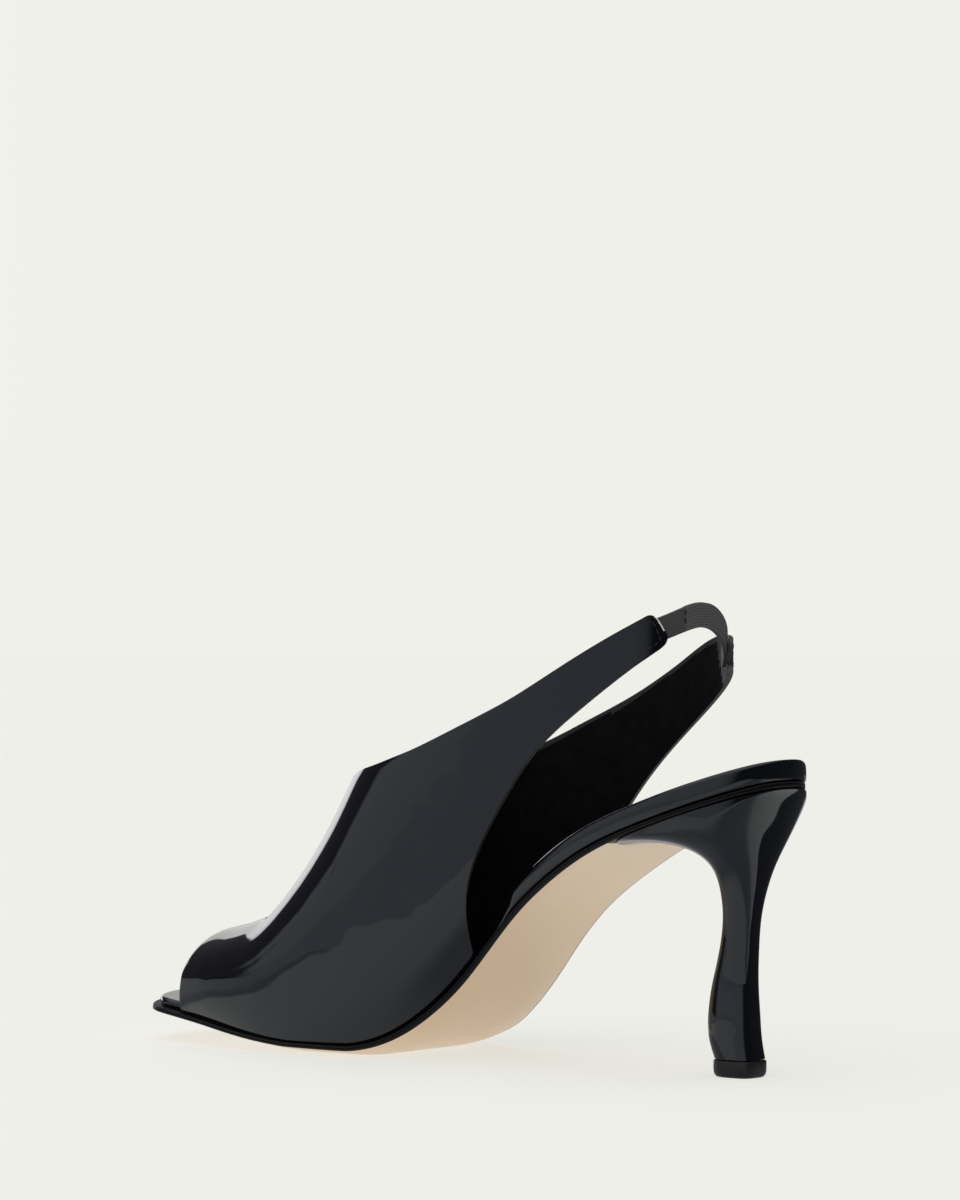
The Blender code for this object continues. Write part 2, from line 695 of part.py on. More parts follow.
def top_piece():
    """Heel tip: a flat piece, a little larger than the heel's foot."""
    ring = heel_ring(1.0, HEEL_POINTS)
    middle_y = (max(p[1] for p in ring) + min(p[1] for p in ring)) / 2.0
    grow = 1.0 + 2.0 * TIP_OVERHANG / TIP_WIDTH
    shell = bmesh.new()
    loops = []
    for level in (TIP_THICKNESS, 0.0):
        loops.append([shell.verts.new((x * grow, middle_y + (y - middle_y) * grow, level)) for x, y, z in ring])
    for k in range(HEEL_POINTS):
        after = (k + 1) % HEEL_POINTS
        shell.faces.new((loops[0][k], loops[0][after], loops[1][after], loops[1][k]))
    shell.faces.new(loops[0])
    shell.faces.new(loops[1])
    bmesh.ops.recalc_face_normals(shell, faces=shell.faces)
    mesh = bpy.data.meshes.new("top_piece")
    shell.to_mesh(mesh)
    shell.free()
    return add_object("top_piece", mesh, material("tip_rubber", (0.015, 0.015, 0.016), 0.45))


def centre_over_origin(pieces):
    """Shift all pieces so that the middle of their box lies over the origin."""
    corners = np.array([piece.matrix_world @ vertex.co for piece in pieces for vertex in piece.data.vertices])
    middle = (corners.min(axis=0) + corners.max(axis=0)) / 2.0
    for piece in pieces:
        piece.location.x -= middle[0]
        piece.location.y -= middle[1]


for old in list(bpy.data.objects):
    bpy.data.objects.remove(old)

centre_over_origin([outsole(), insole(), upper(), elastic(), heel(), top_piece()])
bpy.context.view_layer.update()
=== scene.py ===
"""High-heeled slingback sandal in black patent leather, a left shoe.

The pieces follow in the order in which the shoe goes together: outsole, footbed,
heel, top piece, upper, elastic and stitches. All of them are laid out along the
last: y runs from the toe point (0) to the back of the seat, x across, z up from
the floor, in metres.
"""
import math

import bpy
import numpy as np
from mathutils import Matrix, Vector


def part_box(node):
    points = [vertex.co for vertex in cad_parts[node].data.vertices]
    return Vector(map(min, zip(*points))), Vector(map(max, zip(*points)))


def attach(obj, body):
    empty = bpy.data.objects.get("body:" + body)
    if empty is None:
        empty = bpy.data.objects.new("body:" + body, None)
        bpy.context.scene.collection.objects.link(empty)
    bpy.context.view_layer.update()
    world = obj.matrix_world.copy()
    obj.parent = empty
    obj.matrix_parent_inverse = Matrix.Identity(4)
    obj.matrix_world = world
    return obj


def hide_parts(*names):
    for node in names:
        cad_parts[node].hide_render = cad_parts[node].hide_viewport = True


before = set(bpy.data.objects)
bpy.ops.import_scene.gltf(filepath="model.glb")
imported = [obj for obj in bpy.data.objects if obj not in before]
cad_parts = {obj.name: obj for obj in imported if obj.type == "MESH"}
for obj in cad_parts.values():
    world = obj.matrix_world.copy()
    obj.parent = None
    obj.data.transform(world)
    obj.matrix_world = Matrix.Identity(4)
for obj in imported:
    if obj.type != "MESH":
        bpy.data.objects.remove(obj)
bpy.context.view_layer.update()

# Studio
# Pale paper under the shoe meets a pale wall behind it. The room has a bright strip left of
# the wall, grey before the shoe's side and a pale ceiling, and is dark elsewhere. In mirror
# images alone the paper shows painted reflections: a grey band with a darker line across it,
# dark patches by toe and heel, and a painted shadow under the arch.

PAPER_WIDTH = 1.10
PAPER_LENGTH = 4.20
PAPER_IN_FRONT = 1.00
PAPER_BELOW_FLOOR = 0.00005
PAPER_GLOW = 0.63
PAPER_DARKENED = 0.70
VIEW_ANGLE = math.radians(38.5)
toward_camera = Vector((math.cos(VIEW_ANGLE), math.sin(VIEW_ANGLE), 0.0))

bpy.ops.object.select_all(action="DESELECT")
bpy.ops.mesh.primitive_plane_add(size=1.0, location=(0.0, 0.0, 0.0))
floor = bpy.context.object
floor.name = "studio_floor"
bpy.ops.object.mode_set(mode="EDIT")
bpy.ops.mesh.select_all(action="SELECT")
bpy.ops.transform.resize(value=(PAPER_LENGTH, PAPER_WIDTH, 1.0))
bpy.ops.transform.rotate(value=-VIEW_ANGLE, orient_axis="Z", center_override=(0.0, 0.0, 0.0))
paper_middle = toward_camera * (PAPER_IN_FRONT - PAPER_LENGTH / 2.0)
bpy.ops.transform.translate(value=paper_middle - Vector((0.0, 0.0, PAPER_BELOW_FLOOR)))
bpy.ops.object.mode_set(mode="OBJECT")
paper = bpy.data.materials.new("seamless_paper")
paper.use_nodes = True
tree = paper.node_tree
shader = tree.nodes["Principled BSDF"]
shader.inputs["Roughness"].default_value = 1.0
shader.inputs["Specular IOR Level"].default_value = 0.0
shader.inputs["Emission Strength"].default_value = PAPER_GLOW
spot = tree.nodes.new("ShaderNodeTexCoord")
split = tree.nodes.new("ShaderNodeSeparateXYZ")
tree.links.new(spot.outputs["Object"], split.inputs[0])


def worked_out(operation, *values):
    """Result of a sum in the material; its values may be plain numbers."""
    node = tree.nodes.new("ShaderNodeMath")
    node.operation = operation
    for value, entry in zip(values, node.inputs):
        if isinstance(value, float):
            entry.default_value = value
        else:
            tree.links.new(value, entry)
    return node.outputs[0]


def way_up(value, low, high, kind="SMOOTHSTEP"):
    """Share, 0 to 1, of the way that a value has gone from low to high."""
    step = tree.nodes.new("ShaderNodeMapRange")
    step.interpolation_type = kind
    step.inputs["From Min"].default_value = low
    step.inputs["From Max"].default_value = high
    tree.links.new(value, step.inputs["Value"])
    return step.outputs[0]


def across_line(slope, low, high):
    """Soft step, 0 to 1, as y plus slope times x goes from low to high."""
    return way_up(worked_out("MULTIPLY_ADD", split.outputs["X"], slope, split.outputs["Y"]), low, high)


def laid_over(below, above, factor):
    """Colour that changes from one to another by a factor; either may be a plain colour."""
    blend = tree.nodes.new("ShaderNodeMix")
    blend.data_type = "RGBA"
    for name, colour in (("A", below), ("B", above)):
        if isinstance(colour, tuple):
            blend.inputs[name].default_value = colour
        else:
            tree.links.new(colour, blend.inputs[name])
    tree.links.new(factor, blend.inputs["Factor"])
    return blend.outputs["Result"]


def both(first, second):
    """Product of two factors."""
    return worked_out("MULTIPLY", first, second)


def unless(factor):
    """One minus a factor."""
    return worked_out("SUBTRACT", 1.0, factor)


# Slopes of the lines that bound the paper's painted reflections: metres of y for a metre of x.
PAINTED_LINE_SLOPE = 0.617
HEEL_SLOPE = -3.57
STEEP = 40.0
LEVEL = 0.0
pale_paper = (1.0, 1.0, 0.945, 1.0)
# Tones that only glossy rays see on the paper, as painted reflections: a grey band, a darker line, pale
# paper past it, dark patches by toe and heel, and painted shadow under the arch.
painted_reflection_grey = (0.66, 0.68, 0.74, 1.0)
painted_reflection_line_tone = (0.46, 0.47, 0.52, 1.0)
painted_reflection_pale = (1.0, 1.0, 0.97, 1.0)
painted_toe_reflection_tone = (0.10, 0.10, 0.12, 1.0)
arch_shade_tone = (0.50, 0.51, 0.55, 1.0)
painted_heel_reflection_tone = (0.08, 0.085, 0.10, 1.0)

# The grey band and the darker line across it are painted reflections on the paper.
painted_reflection_line = across_line(PAINTED_LINE_SLOPE, -0.150, -0.108)
past_painted_line = across_line(PAINTED_LINE_SLOPE, -0.106, -0.094)
# Dark patch left of the toe, seen only by glossy rays: a painted reflection.
left_of_toe = both(unless(across_line(STEEP, 0.6, 1.0)), unless(across_line(LEVEL, -0.150, -0.130)))
beside_the_arch = both(across_line(-STEEP, -2.4, -1.2), across_line(STEEP, -2.4, -1.2))
under_the_arch = both(beside_the_arch, across_line(LEVEL, -0.02, 0.02))
# Dark patch behind the heel, seen only by glossy rays: a painted reflection.
behind_heel = both(across_line(HEEL_SLOPE, 0.618, 0.636), across_line(LEVEL, -0.02, 0.0))
mirrored = laid_over(painted_reflection_grey, painted_reflection_line_tone, painted_reflection_line)
mirrored = laid_over(mirrored, painted_reflection_pale, past_painted_line)
mirrored = laid_over(mirrored, painted_toe_reflection_tone, left_of_toe)
mirrored = laid_over(mirrored, arch_shade_tone, under_the_arch)
mirrored = laid_over(mirrored, painted_heel_reflection_tone, behind_heel)
seen_by = tree.nodes.new("ShaderNodeLightPath")
tone = laid_over(pale_paper, mirrored, seen_by.outputs["Is Glossy Ray"])
shade = tree.nodes.new("ShaderNodeMix")
shade.data_type = "RGBA"
shade.inputs["Factor"].default_value = PAPER_DARKENED
shade.inputs["B"].default_value = (0.0, 0.0, 0.0, 1.0)
tree.links.new(tone, shade.inputs["A"])
tree.links.new(shade.outputs["Result"], shader.inputs["Base Color"])
tree.links.new(tone, shader.inputs["Emission Color"])
floor.data.materials.append(paper)

world = bpy.data.worlds.new("studio")
bpy.context.scene.world = world
world.use_nodes = True
tree = world.node_tree
background = tree.nodes["Background"]
place = tree.nodes.new("ShaderNodeTexCoord")
parts = tree.nodes.new("ShaderNodeSeparateXYZ")
tree.links.new(place.outputs["Generated"], parts.inputs[0])
turn = worked_out("ARCTAN2", parts.outputs["Y"], parts.outputs["X"])
share = way_up(turn, -math.pi, math.pi, "LINEAR")

wall = (0.872, 0.872, 0.822, 1.0)
dark = (0.11, 0.11, 0.13, 1.0)
black = (0.06, 0.065, 0.08, 1.0)
grey = (0.72, 0.72, 0.78, 1.0)
low_grey = (0.60, 0.62, 0.68, 1.0)
dim = (0.45, 0.45, 0.47, 1.0)
overhead = (1.15, 1.15, 1.15, 1.0)
lamp_edge = (1.15, 1.15, 1.13, 1.0)
lamp_side = (2.0, 2.0, 2.0, 1.0)
lamp = (3.3, 3.3, 3.3, 1.0)
UNDER_RING = (
    # degrees from +X towards +Y, colour seen there
    (-180.0, black),
    (-151.0, black),
    (-147.5, wall),
    (-136.0, wall),
    (-132.0, black),
    (-60.0, black),
    (-52.0, low_grey),
    (34.0, low_grey),
    (48.0, dim),
    (60.0, black),
    (180.0, black),
)
LOW_RING = (
    # degrees from +X towards +Y, colour seen there
    (-180.0, black),
    (-151.0, black),
    (-147.5, wall),
    (-137.0, wall),
    (-130.0, lamp_edge),
    (-118.0, lamp_side),
    (-106.0, lamp),
    (-97.0, lamp),
    (-94.0, dark),
    (-57.0, dark),
    (-54.0, grey),
    (34.0, grey),
    (48.0, dim),
    (60.0, black),
    (180.0, black),
)
MIDDLE_TURN = 5.0
MIDDLE_RING = tuple(
    (degrees - MIDDLE_TURN if -60.0 < degrees < -50.0 else degrees, colour)
    for degrees, colour in LOW_RING
)
HIGH_RING = (
    # degrees from +X towards +Y, colour seen there
    (-180.0, black),
    (-120.0, dark),
    (-66.0, dark),
    (-58.0, grey),
    (34.0, grey),
    (48.0, dim),
    (62.0, black),
    (180.0, black),
)
OVERHEAD = (
    # degrees from +X towards +Y, colour seen there
    (-180.0, overhead),
    (180.0, overhead),
)
LEVELS = (
    # what is seen, sine of the height above which it starts, and at which it is full
    (LOW_RING, -0.010, 0.000),
    (MIDDLE_RING, 0.070, 0.110),
    (HIGH_RING, 0.315, 0.340),
    (OVERHEAD, 0.550, 0.800),
)


def ring_colours(ring):
    """Colours seen all round at one height, from a ring table."""
    layer = tree.nodes.new("ShaderNodeValToRGB")
    stops = layer.color_ramp.elements
    while len(stops) < len(ring):
        stops.new(0.5)
    for stop, (degrees, colour) in zip(stops, ring):
        stop.position = (degrees + 180.0) / 360.0
    for stop, (degrees, colour) in zip(stops, ring):
        stop.color = colour
    tree.links.new(share, layer.inputs["Fac"])
    return layer.outputs[0]


seen = ring_colours(UNDER_RING)
for ring, lowest, highest in LEVELS:
    rise = way_up(parts.outputs["Z"], lowest, highest)
    seen = laid_over(seen, ring_colours(ring), rise)
tree.links.new(seen, background.inputs["Color"])
background.inputs["Strength"].default_value = 1.0

CAMERA_PLACE = (1.47315, 1.17405, 0.1838)
CAMERA_AIM = (0.00185, 0.00375, 0.1310)
CAMERA_LENS = 197.1
CAMERA_SENSOR = 36.0
CAMERA_REACH = 50.0
lens = bpy.data.cameras.new("camera")
lens.lens = CAMERA_LENS
lens.sensor_width = CAMERA_SENSOR
lens.clip_end = CAMERA_REACH
camera = bpy.data.objects.new("camera", lens)
camera.location = CAMERA_PLACE
camera.rotation_euler = (Vector(CAMERA_AIM) - camera.location).to_track_quat("-Z", "Y").to_euler()
bpy.context.scene.collection.objects.link(camera)
bpy.context.scene.camera = camera
bpy.context.scene.view_settings.view_transform = "Standard"

# Outsole
# A thin sole cut from natural leather. Its edge is skived, curled up round the
# last at the forefoot, and painted black with a fine groove below its lip.

SOLE_LENGTH = 0.2245
TOE_SPRING = 0.0085
SEAT_HEIGHT = 0.0810
TOE_WIDTH = 0.0500
BALL_WIDTH = 0.0665
WAIST_WIDTH = 0.0440
SEAT_WIDTH = 0.0505
TOE_APEX = -0.0060
TOE_CORNER_LATERAL = 0.0130
TOE_CORNER_MEDIAL = 0.0090
SEAT_ROUNDING = 0.0260
CORNER_POWER = 2.4
OUTSOLE_THICKNESS = 0.0036
EDGE_LIFT = 0.0022
FLAT_SHARE = 0.42
INSOLE_THICKNESS = 0.0052
OUTSOLE_RECESS = 0.0008
GAP = 0.0003
LIFT_POWER = 2.3
SLOPE_STEP = 0.0005
SEAT_LEVELS_OFF = 0.86
RECESS_START = 0.55
RECESS_FULL = 0.75
PAINTED_BEHIND = 0.80
OUTSOLE_COLUMNS = 24
SOLE_STATIONS = 260
WELD = 0.000002
CORNER_ANGLE = math.radians(35.0)

SOLE_LINE = (
    # along, share of TOE_SPRING, share of SEAT_HEIGHT
    (0.000, 1.00, 0.000),
    (0.070, 0.74, 0.000),
    (0.140, 0.48, 0.000),
    (0.210, 0.22, 0.000),
    (0.280, 0.04, 0.000),
    (0.330, -0.03, 0.000),
    (0.385, -0.03, 0.000),
    (0.430, 0.00, 0.014),
    (0.470, 0.00, 0.060),
    (0.515, 0.00, 0.150),
    (0.560, 0.00, 0.270),
    (0.600, 0.00, 0.397),
    (0.645, 0.00, 0.525),
    (0.695, 0.00, 0.632),
    (0.770, 0.00, 0.758),
    (0.855, 0.00, 0.855),
    (0.940, 0.00, 0.937),
    (1.000, 0.00, 1.000),
)
OUTLINE = (
    # along, width that the row follows, lateral share, medial share
    (0.000, TOE_WIDTH, 0.360, 0.370),
    (0.050, TOE_WIDTH, 0.420, 0.440),
    (0.120, TOE_WIDTH, 0.485, 0.515),
    (0.225, BALL_WIDTH, 0.440, 0.472),
    (0.310, BALL_WIDTH, 0.472, 0.525),
    (0.390, BALL_WIDTH, 0.452, 0.528),
    (0.500, WAIST_WIDTH, 0.510, 0.672),
    (0.600, WAIST_WIDTH, 0.442, 0.558),
    (0.710, SEAT_WIDTH, 0.462, 0.505),
    (0.810, SEAT_WIDTH, 0.498, 0.508),
    (0.920, SEAT_WIDTH, 0.488, 0.488),
    (1.000, SEAT_WIDTH, 0.450, 0.450),
)
LAYERS = (
    # along, outsole thickness, edge lift, insole thickness (shares of their named sizes)
    (0.000, 0.78, 0.55, 0.42),
    (0.150, 0.95, 0.95, 0.42),
    (0.350, 1.00, 1.00, 0.44),
    (0.480, 0.92, 0.80, 0.52),
    (0.600, 0.72, 0.48, 0.76),
    (0.720, 0.58, 0.24, 0.96),
    (0.850, 0.52, 0.14, 1.05),
    (1.000, 0.52, 0.12, 1.17),
)


def fair_curve(table, column):
    """Fair curve through one column of a table, over its first column."""
    x = np.array([row[0] for row in table], dtype=float)
    y = np.array([row[column] for row in table], dtype=float)
    steps = np.diff(x)
    count = len(x)
    system = np.eye(count)
    right = np.zeros(count)
    for i in range(1, count - 1):
        system[i, i - 1:i + 2] = steps[i - 1], 2.0 * (steps[i - 1] + steps[i]), steps[i]
        right[i] = 6.0 * ((y[i + 1] - y[i]) / steps[i] - (y[i] - y[i - 1]) / steps[i - 1])
    bend = np.linalg.solve(system, right)

    def curve(at):
        at = np.clip(np.asarray(at, dtype=float), x[0], x[-1])
        i = np.clip(np.searchsorted(x, at) - 1, 0, count - 2)
        step = steps[i]
        after = (at - x[i]) / step
        before = 1.0 - after
        return (before * y[i] + after * y[i + 1]
                + ((before ** 3 - before) * bend[i] + (after ** 3 - after) * bend[i + 1]) * step ** 2 / 6.0)

    return curve


line_rows = [(along * SOLE_LENGTH, spring * TOE_SPRING + rise * SEAT_HEIGHT)
             for along, spring, rise in SOLE_LINE]
outline_rows = [(along * SOLE_LENGTH, size * lateral, size * medial)
                for along, size, lateral, medial in OUTLINE]
layer_rows = [(along * SOLE_LENGTH, thick * OUTSOLE_THICKNESS, lift * EDGE_LIFT, bed * INSOLE_THICKNESS)
              for along, thick, lift, bed in LAYERS]
line_height = fair_curve(line_rows, 1)
outline_lateral = fair_curve(outline_rows, 1)
outline_medial = fair_curve(outline_rows, 2)
outsole_thickness = fair_curve(layer_rows, 1)
edge_lift = fair_curve(layer_rows, 2)
insole_thickness = fair_curve(layer_rows, 3)


def smooth_step(at, low, high):
    """0 below low, 1 above high, and a soft step between."""
    share = np.clip((at - low) / (high - low), 0.0, 1.0)
    return share * share * (3.0 - 2.0 * share)


def end_rounding(distance, length):
    """Share of the full width near an end that is rounded over a length."""
    away = 1.0 - np.clip(distance / length, 0.0, 1.0)
    return (1.0 - away ** CORNER_POWER) ** (1.0 / CORNER_POWER)


def sole_edge(y, side, inset, front, back):
    """Edge of a sole layer at y, on the lateral (1) or medial (-1) side."""
    width = np.where(side > 0, outline_lateral(y), outline_medial(y))
    corner = np.where(side > 0, TOE_CORNER_LATERAL, TOE_CORNER_MEDIAL)
    apex = TOE_APEX * side
    toe = end_rounding(y - front, corner)
    seat = end_rounding(SOLE_LENGTH - back - y, SEAT_ROUNDING)
    return side * (apex + (width - inset - apex) * toe) * seat


def sole_place(y, rise):
    """Place on the sole's centre line at a rise above its underside."""
    slope = (line_height(y + SLOPE_STEP) - line_height(y - SLOPE_STEP)) / (2.0 * SLOPE_STEP)
    slope = slope * (1.0 - smooth_step(y, SEAT_LEVELS_OFF * SOLE_LENGTH, SOLE_LENGTH))
    length = np.sqrt(1.0 + slope ** 2)
    return y - rise * slope / length, np.maximum(line_height(y), 0.0) + rise / length


def sole_lift(y, share):
    """How far the underside's edges curl up, at a share of the half-width."""
    beyond = np.maximum(0.0, (np.abs(share) - FLAT_SHARE) / (1.0 - FLAT_SHARE))
    return edge_lift(y) * beyond ** LIFT_POWER


ahead = -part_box("outsole")[0].y
aside = (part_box("top_piece")[0].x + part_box("top_piece")[1].x) / 2.0


def sheet(name, across, along, spots):
    """Grid sheet whose own u and v, each 0 to 1, go where spots(u, v) says."""
    bpy.ops.object.select_all(action="DESELECT")
    bpy.ops.mesh.primitive_grid_add(
        x_subdivisions=across, y_subdivisions=along, size=1.0, location=(0.0, 0.0, 0.0))
    made = bpy.context.object
    made.name = name
    made.data.name = name
    flat = np.zeros(len(made.data.vertices) * 3)
    made.data.vertices.foreach_get("co", flat)
    flat = np.clip(flat.reshape(-1, 3) + 0.5, 0.0, 1.0)
    points = spots(flat[:, 0], flat[:, 1]) + np.array((aside, -ahead, 0.0))
    made.data.vertices.foreach_set("co", points.ravel())
    made.data.update()
    return made


def close_tube(made):
    """Closes a sheet that was rolled into a tube: welds its seam, caps both ends, turns faces out."""
    bpy.ops.object.mode_set(mode="EDIT")
    bpy.ops.mesh.select_all(action="SELECT")
    bpy.ops.mesh.remove_doubles(threshold=WELD)
    bpy.ops.mesh.select_all(action="DESELECT")
    bpy.ops.mesh.select_mode(type="EDGE")
    bpy.ops.mesh.select_non_manifold()
    bpy.ops.mesh.fill_holes(sides=0)
    bpy.ops.mesh.select_mode(type="VERT")
    bpy.ops.mesh.select_all(action="SELECT")
    bpy.ops.mesh.normals_make_consistent(inside=False)
    bpy.ops.object.mode_set(mode="OBJECT")
    bpy.ops.object.shade_smooth_by_angle(angle=CORNER_ANGLE)
    return made


def section_loop(columns, edge):
    """Loop round a sole layer's section: share across, set-in and level, for its own u."""
    across = list(np.linspace(-1.0, 1.0, columns + 1))
    first_inset, first_level = edge[0]
    last_inset, last_level = edge[-1]
    loop = [(share, first_inset, first_level) for share in across]
    loop += [(1.0, inset, level) for inset, level in edge[1:-1]]
    loop += [(share, last_inset, last_level) for share in reversed(across)]
    loop += [(-1.0, inset, level) for inset, level in reversed(edge[1:-1])]
    return np.array(loop + loop[:1])


def sole_layer(name, columns, along, edge, base, thickness, inset, front, lifted):
    """Solid layer of the sole: rings round its section, one for each station from toe to seat."""
    loop = section_loop(columns, edge)

    def spots(u, v):
        ring = np.rint(u * (len(loop) - 1)).astype(int)
        share, set_in, level = loop[ring].T
        station = 0.5 - 0.5 * np.cos(math.pi * v)
        y = front + set_in + (SOLE_LENGTH - front - 2.0 * set_in) * station
        along_line, height = sole_place(y, base(y) + level * thickness(y))
        lateral = sole_edge(y, 1.0, inset(y) + set_in, front + set_in, set_in)
        medial = sole_edge(y, -1.0, inset(y) + set_in, front + set_in, set_in)
        x = (lateral + medial) / 2.0 + (lateral - medial) / 2.0 * share
        height = height + (sole_lift(y, share) * (1.0 - level) if lifted else 0.0)
        return np.stack([x, along_line, height], axis=-1)

    return close_tube(sheet(name, len(loop) - 1, along, spots)), loop


def loop_materials(made, loop, choose):
    """Gives each face the material that choose(y, share, level) names for its place."""
    numbers = [material.name for material in made.data.materials]
    layer = made.data.uv_layers.active.data
    for face in made.data.polygons:
        u = sum(layer[i].uv.x for i in face.loop_indices) / face.loop_total
        ring = min(int(u * (len(loop) - 1)), len(loop) - 2)
        share = (loop[ring][0] + loop[ring + 1][0]) / 2.0
        level = (loop[ring][2] + loop[ring + 1][2]) / 2.0
        face.material_index = numbers.index(choose(face.center.y + ahead, share, level))


def finish_material(name, colour, roughness, coat, coat_roughness, specular=0.5):
    """Material with its plain values set, ready for its pattern."""
    made = bpy.data.materials.new(name)
    made.use_nodes = True
    shader = made.node_tree.nodes["Principled BSDF"]
    shader.inputs["Base Color"].default_value = (*colour, 1.0)
    shader.inputs["Roughness"].default_value = roughness
    shader.inputs["Coat Weight"].default_value = coat
    shader.inputs["Coat Roughness"].default_value = coat_roughness
    shader.inputs["Specular IOR Level"].default_value = specular
    return made


def on_the_piece(tree, stretch):
    """The piece's own coordinates, stretched for a pattern."""
    where = tree.nodes.new("ShaderNodeTexCoord")
    sized = tree.nodes.new("ShaderNodeMapping")
    sized.inputs["Scale"].default_value = stretch
    tree.links.new(where.outputs["Object"], sized.inputs["Vector"])
    return sized.outputs[0]


def add_bump(made, kind, scale, distance, stretch=(1.0, 1.0, 1.0), detail=2.0):
    """Adds a bump from a noise or cell pattern."""
    tree = made.node_tree
    pattern = tree.nodes.new("ShaderNodeTexNoise" if kind == "noise" else "ShaderNodeTexVoronoi")
    pattern.inputs["Scale"].default_value = scale
    if kind == "noise":
        pattern.inputs["Detail"].default_value = detail
    bump = tree.nodes.new("ShaderNodeBump")
    bump.inputs["Distance"].default_value = distance
    tree.links.new(on_the_piece(tree, stretch), pattern.inputs["Vector"])
    tree.links.new(pattern.outputs[0], bump.inputs["Height"])
    tree.links.new(bump.outputs[0], tree.nodes["Principled BSDF"].inputs["Normal"])


def add_mottle(made, low, high, scale, stretch=(1.0, 1.0, 1.0)):
    """Lets the colour drift softly between two tones."""
    tree = made.node_tree
    cloud = tree.nodes.new("ShaderNodeTexNoise")
    cloud.inputs["Scale"].default_value = scale
    cloud.inputs["Detail"].default_value = 4.0
    tones = tree.nodes.new("ShaderNodeValToRGB")
    tones.color_ramp.elements[0].position = 0.3
    tones.color_ramp.elements[0].color = (*low, 1.0)
    tones.color_ramp.elements[1].position = 0.7
    tones.color_ramp.elements[1].color = (*high, 1.0)
    tree.links.new(on_the_piece(tree, stretch), cloud.inputs["Vector"])
    tree.links.new(cloud.outputs[0], tones.inputs["Fac"])
    tree.links.new(tones.outputs["Color"], tree.nodes["Principled BSDF"].inputs["Base Color"])


natural_leather = finish_material("natural_leather", (0.72, 0.55, 0.38), 0.42, 0.25, 0.25)
add_mottle(natural_leather, (0.74, 0.545, 0.355), (0.82, 0.625, 0.425), 16.0, (1.0, 0.5, 1.0))
add_bump(natural_leather, "noise", 2600.0, 0.00002, detail=4.0)
edge_paint = finish_material("black_edge_paint", (0.005, 0.005, 0.006), 0.40, 0.0, 0.2, 0.15)
add_bump(edge_paint, "noise", 900.0, 0.00003, (1.0, 0.3, 1.0))

OUTSOLE_EDGE = (
    # set-in from the outline, level between underside and top
    (0.00070, 0.00),
    (0.00028, 0.03),
    (0.00006, 0.14),
    (0.00000, 0.30),
    (0.00004, 0.46),
    (0.00026, 0.54),
    (0.00026, 0.60),
    (0.00002, 0.68),
    (0.00000, 0.84),
    (0.00010, 0.94),
    (0.00040, 1.00),
)


def ground(y):
    """The outsole lies on the sole's line itself."""
    return 0.0 * y


def outsole_inset(y):
    """The outsole's edge is set back a little from the waist to the seat."""
    return OUTSOLE_RECESS * smooth_step(y, RECESS_START * SOLE_LENGTH, RECESS_FULL * SOLE_LENGTH)


def outsole_finish(y, share, level):
    """Natural leather below as far as the heel, and paint all round and under the heel."""
    bare = level < 0.01 and y < PAINTED_BEHIND * SOLE_LENGTH
    return "natural_leather" if bare else "black_edge_paint"


outsole, outsole_loop = sole_layer("outsole_leather", OUTSOLE_COLUMNS, SOLE_STATIONS, OUTSOLE_EDGE,
                                   ground, outsole_thickness, outsole_inset, 0.0, True)
outsole.data.materials.append(natural_leather)
outsole.data.materials.append(edge_paint)
loop_materials(outsole, outsole_loop, outsole_finish)
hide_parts("outsole")
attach(outsole, "root")

# Footbed
# The insole board and its shank, wrapped in patent leather that is folded
# round the edge. It is thin under the toes and thick from the waist to the seat.

INSOLE_SETBACK = 0.0016
SOLE_LIP = 0.0012
UPPER_WALL = 0.0013
FOOTBED_PLAY = 1.7 * GAP
INSET_START = 0.03
INSET_FULL = 0.08
INSET_ENDS = 0.605
INSET_GONE = 0.66
COVER_START = 0.16
COVER_SHARE = 0.9
FOOTBED_COLUMNS = 20

patent = finish_material("black_patent", (0.0022, 0.0022, 0.0026), 0.035, 0.0, 0.03, 0.5)
patent.node_tree.nodes["Principled BSDF"].inputs["Specular Tint"].default_value = (0.86, 0.93, 1.0, 1.0)
add_bump(patent, "noise", 48.0, 0.00030, detail=1.5)
footbed_cover = finish_material("footbed_leather", (0.012, 0.012, 0.013), 0.38, 0.35, 0.18, 0.4)
add_bump(footbed_cover, "noise", 1500.0, 0.00004, detail=3.0)

FOOTBED_EDGE = (
    # set-in from the outline, level between underside and top
    (0.00070, 0.00),
    (0.00030, 0.05),
    (0.00008, 0.13),
    (0.00000, 0.25),
    (0.00000, 0.55),
    (0.00004, 0.70),
    (0.00014, 0.81),
    (0.00034, 0.90),
    (0.00062, 0.96),
    (0.00100, 0.99),
    (0.00150, 1.00),
)


def footbed_inset(y):
    """The footbed lies inside the upper as far as its wings reach, then comes out flush."""
    inside = SOLE_LIP + UPPER_WALL + FOOTBED_PLAY
    covered = smooth_step(y, INSET_START * SOLE_LENGTH, INSET_FULL * SOLE_LENGTH)
    margin = INSOLE_SETBACK + (inside - INSOLE_SETBACK) * covered
    return margin * (1.0 - smooth_step(y, INSET_ENDS * SOLE_LENGTH, INSET_GONE * SOLE_LENGTH))


def outsole_top(y):
    """The footbed lies a hair above the outsole."""
    return outsole_thickness(y) + GAP


def footbed_finish(y, share, level):
    """Dull leather on top behind the toes, and patent round the edge and under the toes."""
    on_top = level > 0.999 and abs(share) < COVER_SHARE and y > COVER_START * SOLE_LENGTH
    return "footbed_leather" if on_top else "black_patent"


footbed, footbed_loop = sole_layer("footbed", FOOTBED_COLUMNS, SOLE_STATIONS, FOOTBED_EDGE, outsole_top,
                                   insole_thickness, footbed_inset, INSOLE_SETBACK, False)
footbed.data.materials.append(patent)
footbed.data.materials.append(footbed_cover)
loop_materials(footbed, footbed_loop, footbed_finish)
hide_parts("insole")
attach(footbed, "root")

# Heel
# A moulded block covered in patent leather: a thin lip under the seat, a curved
# breast, a narrow waist and a foot that flares forward. The cover's edge is
# folded over the top.

